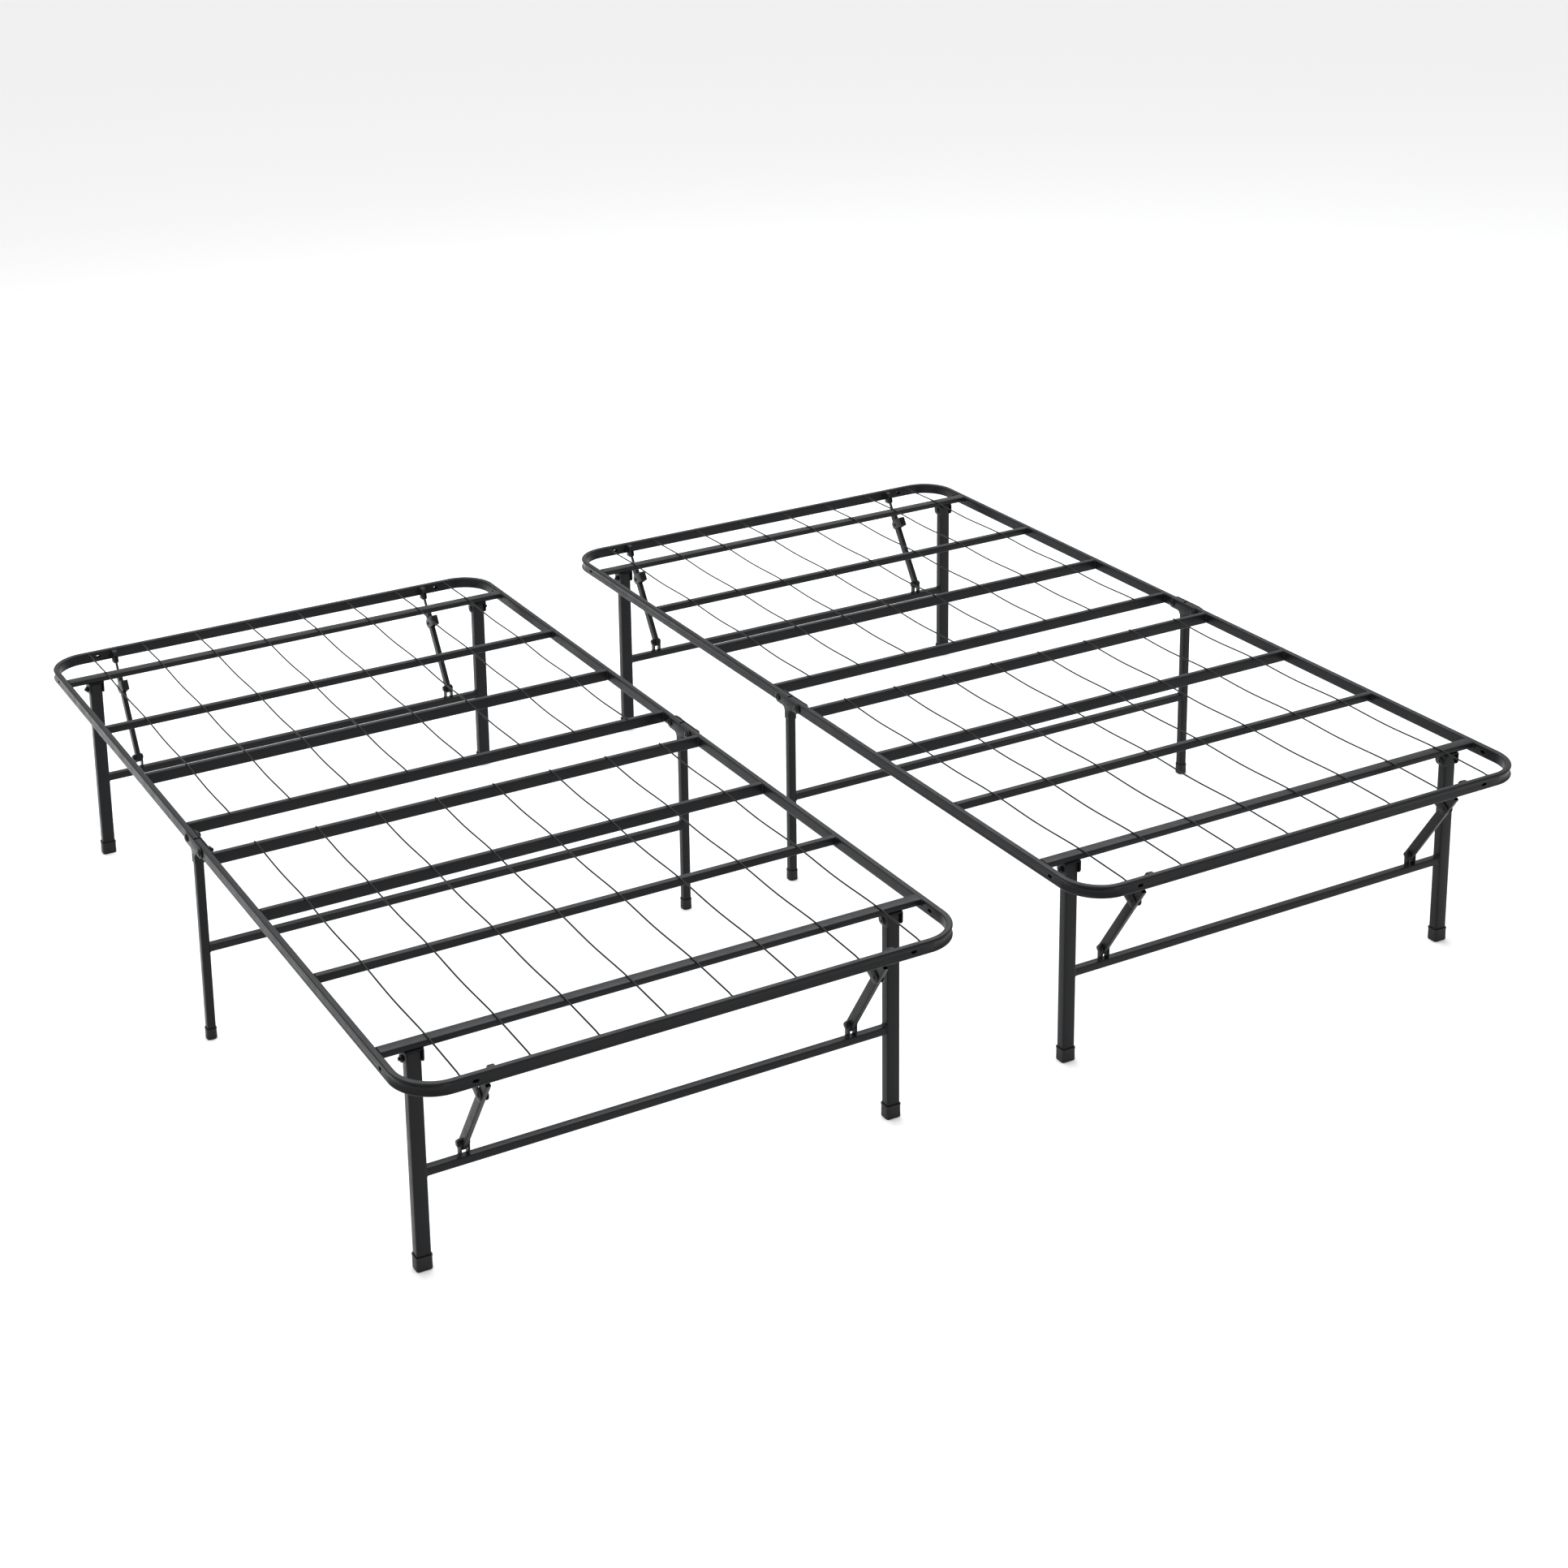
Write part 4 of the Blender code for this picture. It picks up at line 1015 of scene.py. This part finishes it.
def build_bed():
    set_on_halves("rail_tube", make_rail(), satin_coat, "deck", ["rail"])
    set_on_halves("slat_tubes", make_slats(), satin_coat, "deck", ["slats"])
    set_on_halves("slat_welds", slat_welds(), weld_coat, "deck")
    set_on_halves("wires", make_wires(), wire_coat, "deck")
    set_on_halves("spot_welds", spot_welds(), weld_coat, "deck")
    set_on_halves("leg_brackets", leg_brackets(), satin_coat, "deck")
    set_on_halves("leg_bracket_welds", leg_bracket_welds(), weld_coat, "deck")
    set_on_halves("leg_bolts", leg_bolts(), bolt_black, "deck")
    set_on_halves("brace_brackets", rail_brackets(), satin_coat, "deck")
    set_on_halves("brace_bracket_welds", rail_bracket_welds(), weld_coat, "deck")
    set_on_halves("brace_rivets", rail_bracket_rivets(), bolt_black, "deck")
    set_on_halves("leg_tubes", make_leg_tubes(), satin_coat, "leg_frame", ["legs"])
    set_on_halves("leg_welds", end_leg_welds(), weld_coat, "leg_frame")
    set_on_halves("brace_clevises", make_clevises(), satin_coat, "leg_frame")
    set_on_halves("clevis_bolts", clevis_bolts(), bolt_black, "leg_frame")
    end_foot = foot_high - foot_low
    middle_foot = mid_foot_high - mid_foot_low
    for label, side in SIDES:
        x = side * brace_x
        cap = foot_cap(side * leg_x, leg_y, *end_foot, FOOT_CORNER)
        set_on_halves("foot_cap_" + label, cap, cap_plastic, "leg_frame", ["foot_" + label])
        set_on_halves("flat_bar_" + label, brace_bar(x), satin_coat, "upper_braces",
                      ["brace_bar_" + label])
        set_on_halves("flat_tube_" + label, brace_tube(x), satin_coat, "lower_braces",
                      ["brace_tube_" + label])
        set_on_halves("latch_lever_" + label, latch_lever(x), bolt_black, "latch_" + label,
                      ["latch_" + label])
    set_on_middles("middle_tubes", make_middle_tubes(), satin_coat, ["middle_legs"])
    set_on_middles("hinge_plates", hinge_plates(), satin_coat)
    set_on_middles("middle_welds", middle_welds(), weld_coat)
    for label, side in SIDES:
        cap = foot_cap(side * rail_x, 0, *middle_foot, MID_FOOT_CORNER)
        set_on_middles("middle_foot_cap_" + label, cap, cap_plastic, ["middle_foot_" + label])
    for half, outward in HALVES:
        for (label, _), bolt in zip(SIDES, hinge_bolts(outward * deck_hinge.y)):
            set_on_middles(half + "_hinge_bolt_" + label, bolt, bolt_black, [half + "_bolt_" + label])


# ---- Floor, light and camera ----

def build_stage():
    """A wide pale floor just under the feet."""
    floor_shape = bmesh.new()
    bmesh.ops.create_grid(floor_shape, x_segments=1, y_segments=1, size=30)
    shift(floor_shape, 0, 0, -0.0004)
    mesh = bpy.data.meshes.new("floor")
    floor_shape.to_mesh(mesh)
    floor_shape.free()
    paint = bpy.data.materials.new("pale_floor")
    paint.use_nodes = True
    shader = paint.node_tree.nodes["Principled BSDF"]
    shader.inputs["Base Color"].default_value = (0.86, 0.86, 0.86, 1)
    shader.inputs["Roughness"].default_value = 0.9
    mesh.materials.append(paint)
    floor = bpy.data.objects.new("floor", mesh)
    bpy.context.scene.collection.objects.link(floor)


def soft_light(name, place, target, width, height, power, colour=(1, 1, 1)):
    lamp = bpy.data.lights.new(name, "AREA")
    lamp.shape = "RECTANGLE"
    lamp.size = width
    lamp.size_y = height
    lamp.energy = power
    lamp.color = colour
    holder = bpy.data.objects.new(name, lamp)
    holder.location = place
    holder.rotation_euler = (Vector(target) - Vector(place)).to_track_quat("-Z", "Y").to_euler()
    bpy.context.scene.collection.objects.link(holder)


def build_light():
    """White surroundings, a panel above, a warm one at the left and a cool strip behind."""
    world = bpy.data.worlds.new("studio")
    world.use_nodes = True
    world.node_tree.nodes["Background"].inputs["Color"].default_value = (1, 1, 1, 1)
    world.node_tree.nodes["Background"].inputs["Strength"].default_value = 1.0
    bpy.context.scene.world = world
    soft_light("top_panel", place=(0.0, 0.3, 4.2), target=(0, 0.2, 0), width=5.0, height=4.0, power=130)
    soft_light("left_panel", place=(-4.6, -0.6, 1.9), target=(0, 0, 0.2), width=4.0, height=2.6,
               power=22, colour=(1.0, 0.92, 0.83))
    soft_light("edge_strip", place=(0.4, 2.6, 3.4), target=(0, 0, 0.3), width=6.0, height=0.8,
               power=90, colour=(0.9, 0.95, 1.0))
    bpy.context.scene.view_settings.view_transform = "Standard"


def build_camera():
    azimuth = math.radians(-26.35)
    elevation = math.radians(14.85)
    roll = math.radians(-1.80)
    right = Vector((math.cos(azimuth), math.sin(azimuth), 0))
    back = Vector((math.sin(azimuth) * math.cos(elevation), -math.cos(azimuth) * math.cos(elevation),
                   math.sin(elevation)))
    upward = back.cross(right)
    side = math.cos(roll) * right + math.sin(roll) * upward
    rise = back.cross(side)
    lens = bpy.data.cameras.new("camera")
    lens.sensor_width = 36
    lens.lens = 60.69
    lens.shift_x = 0.1313
    lens.shift_y = -0.304
    camera = bpy.data.objects.new("camera", lens)
    place = Vector((unit_x["a"] - 1.7587, -4.145, 2.4742))
    camera.matrix_world = Matrix.Translation(place) @ Matrix((side, rise, back)).transposed().to_4x4()
    bpy.context.scene.collection.objects.link(camera)
    bpy.context.scene.camera = camera


build_bed()
build_stage()
build_light()
build_camera()
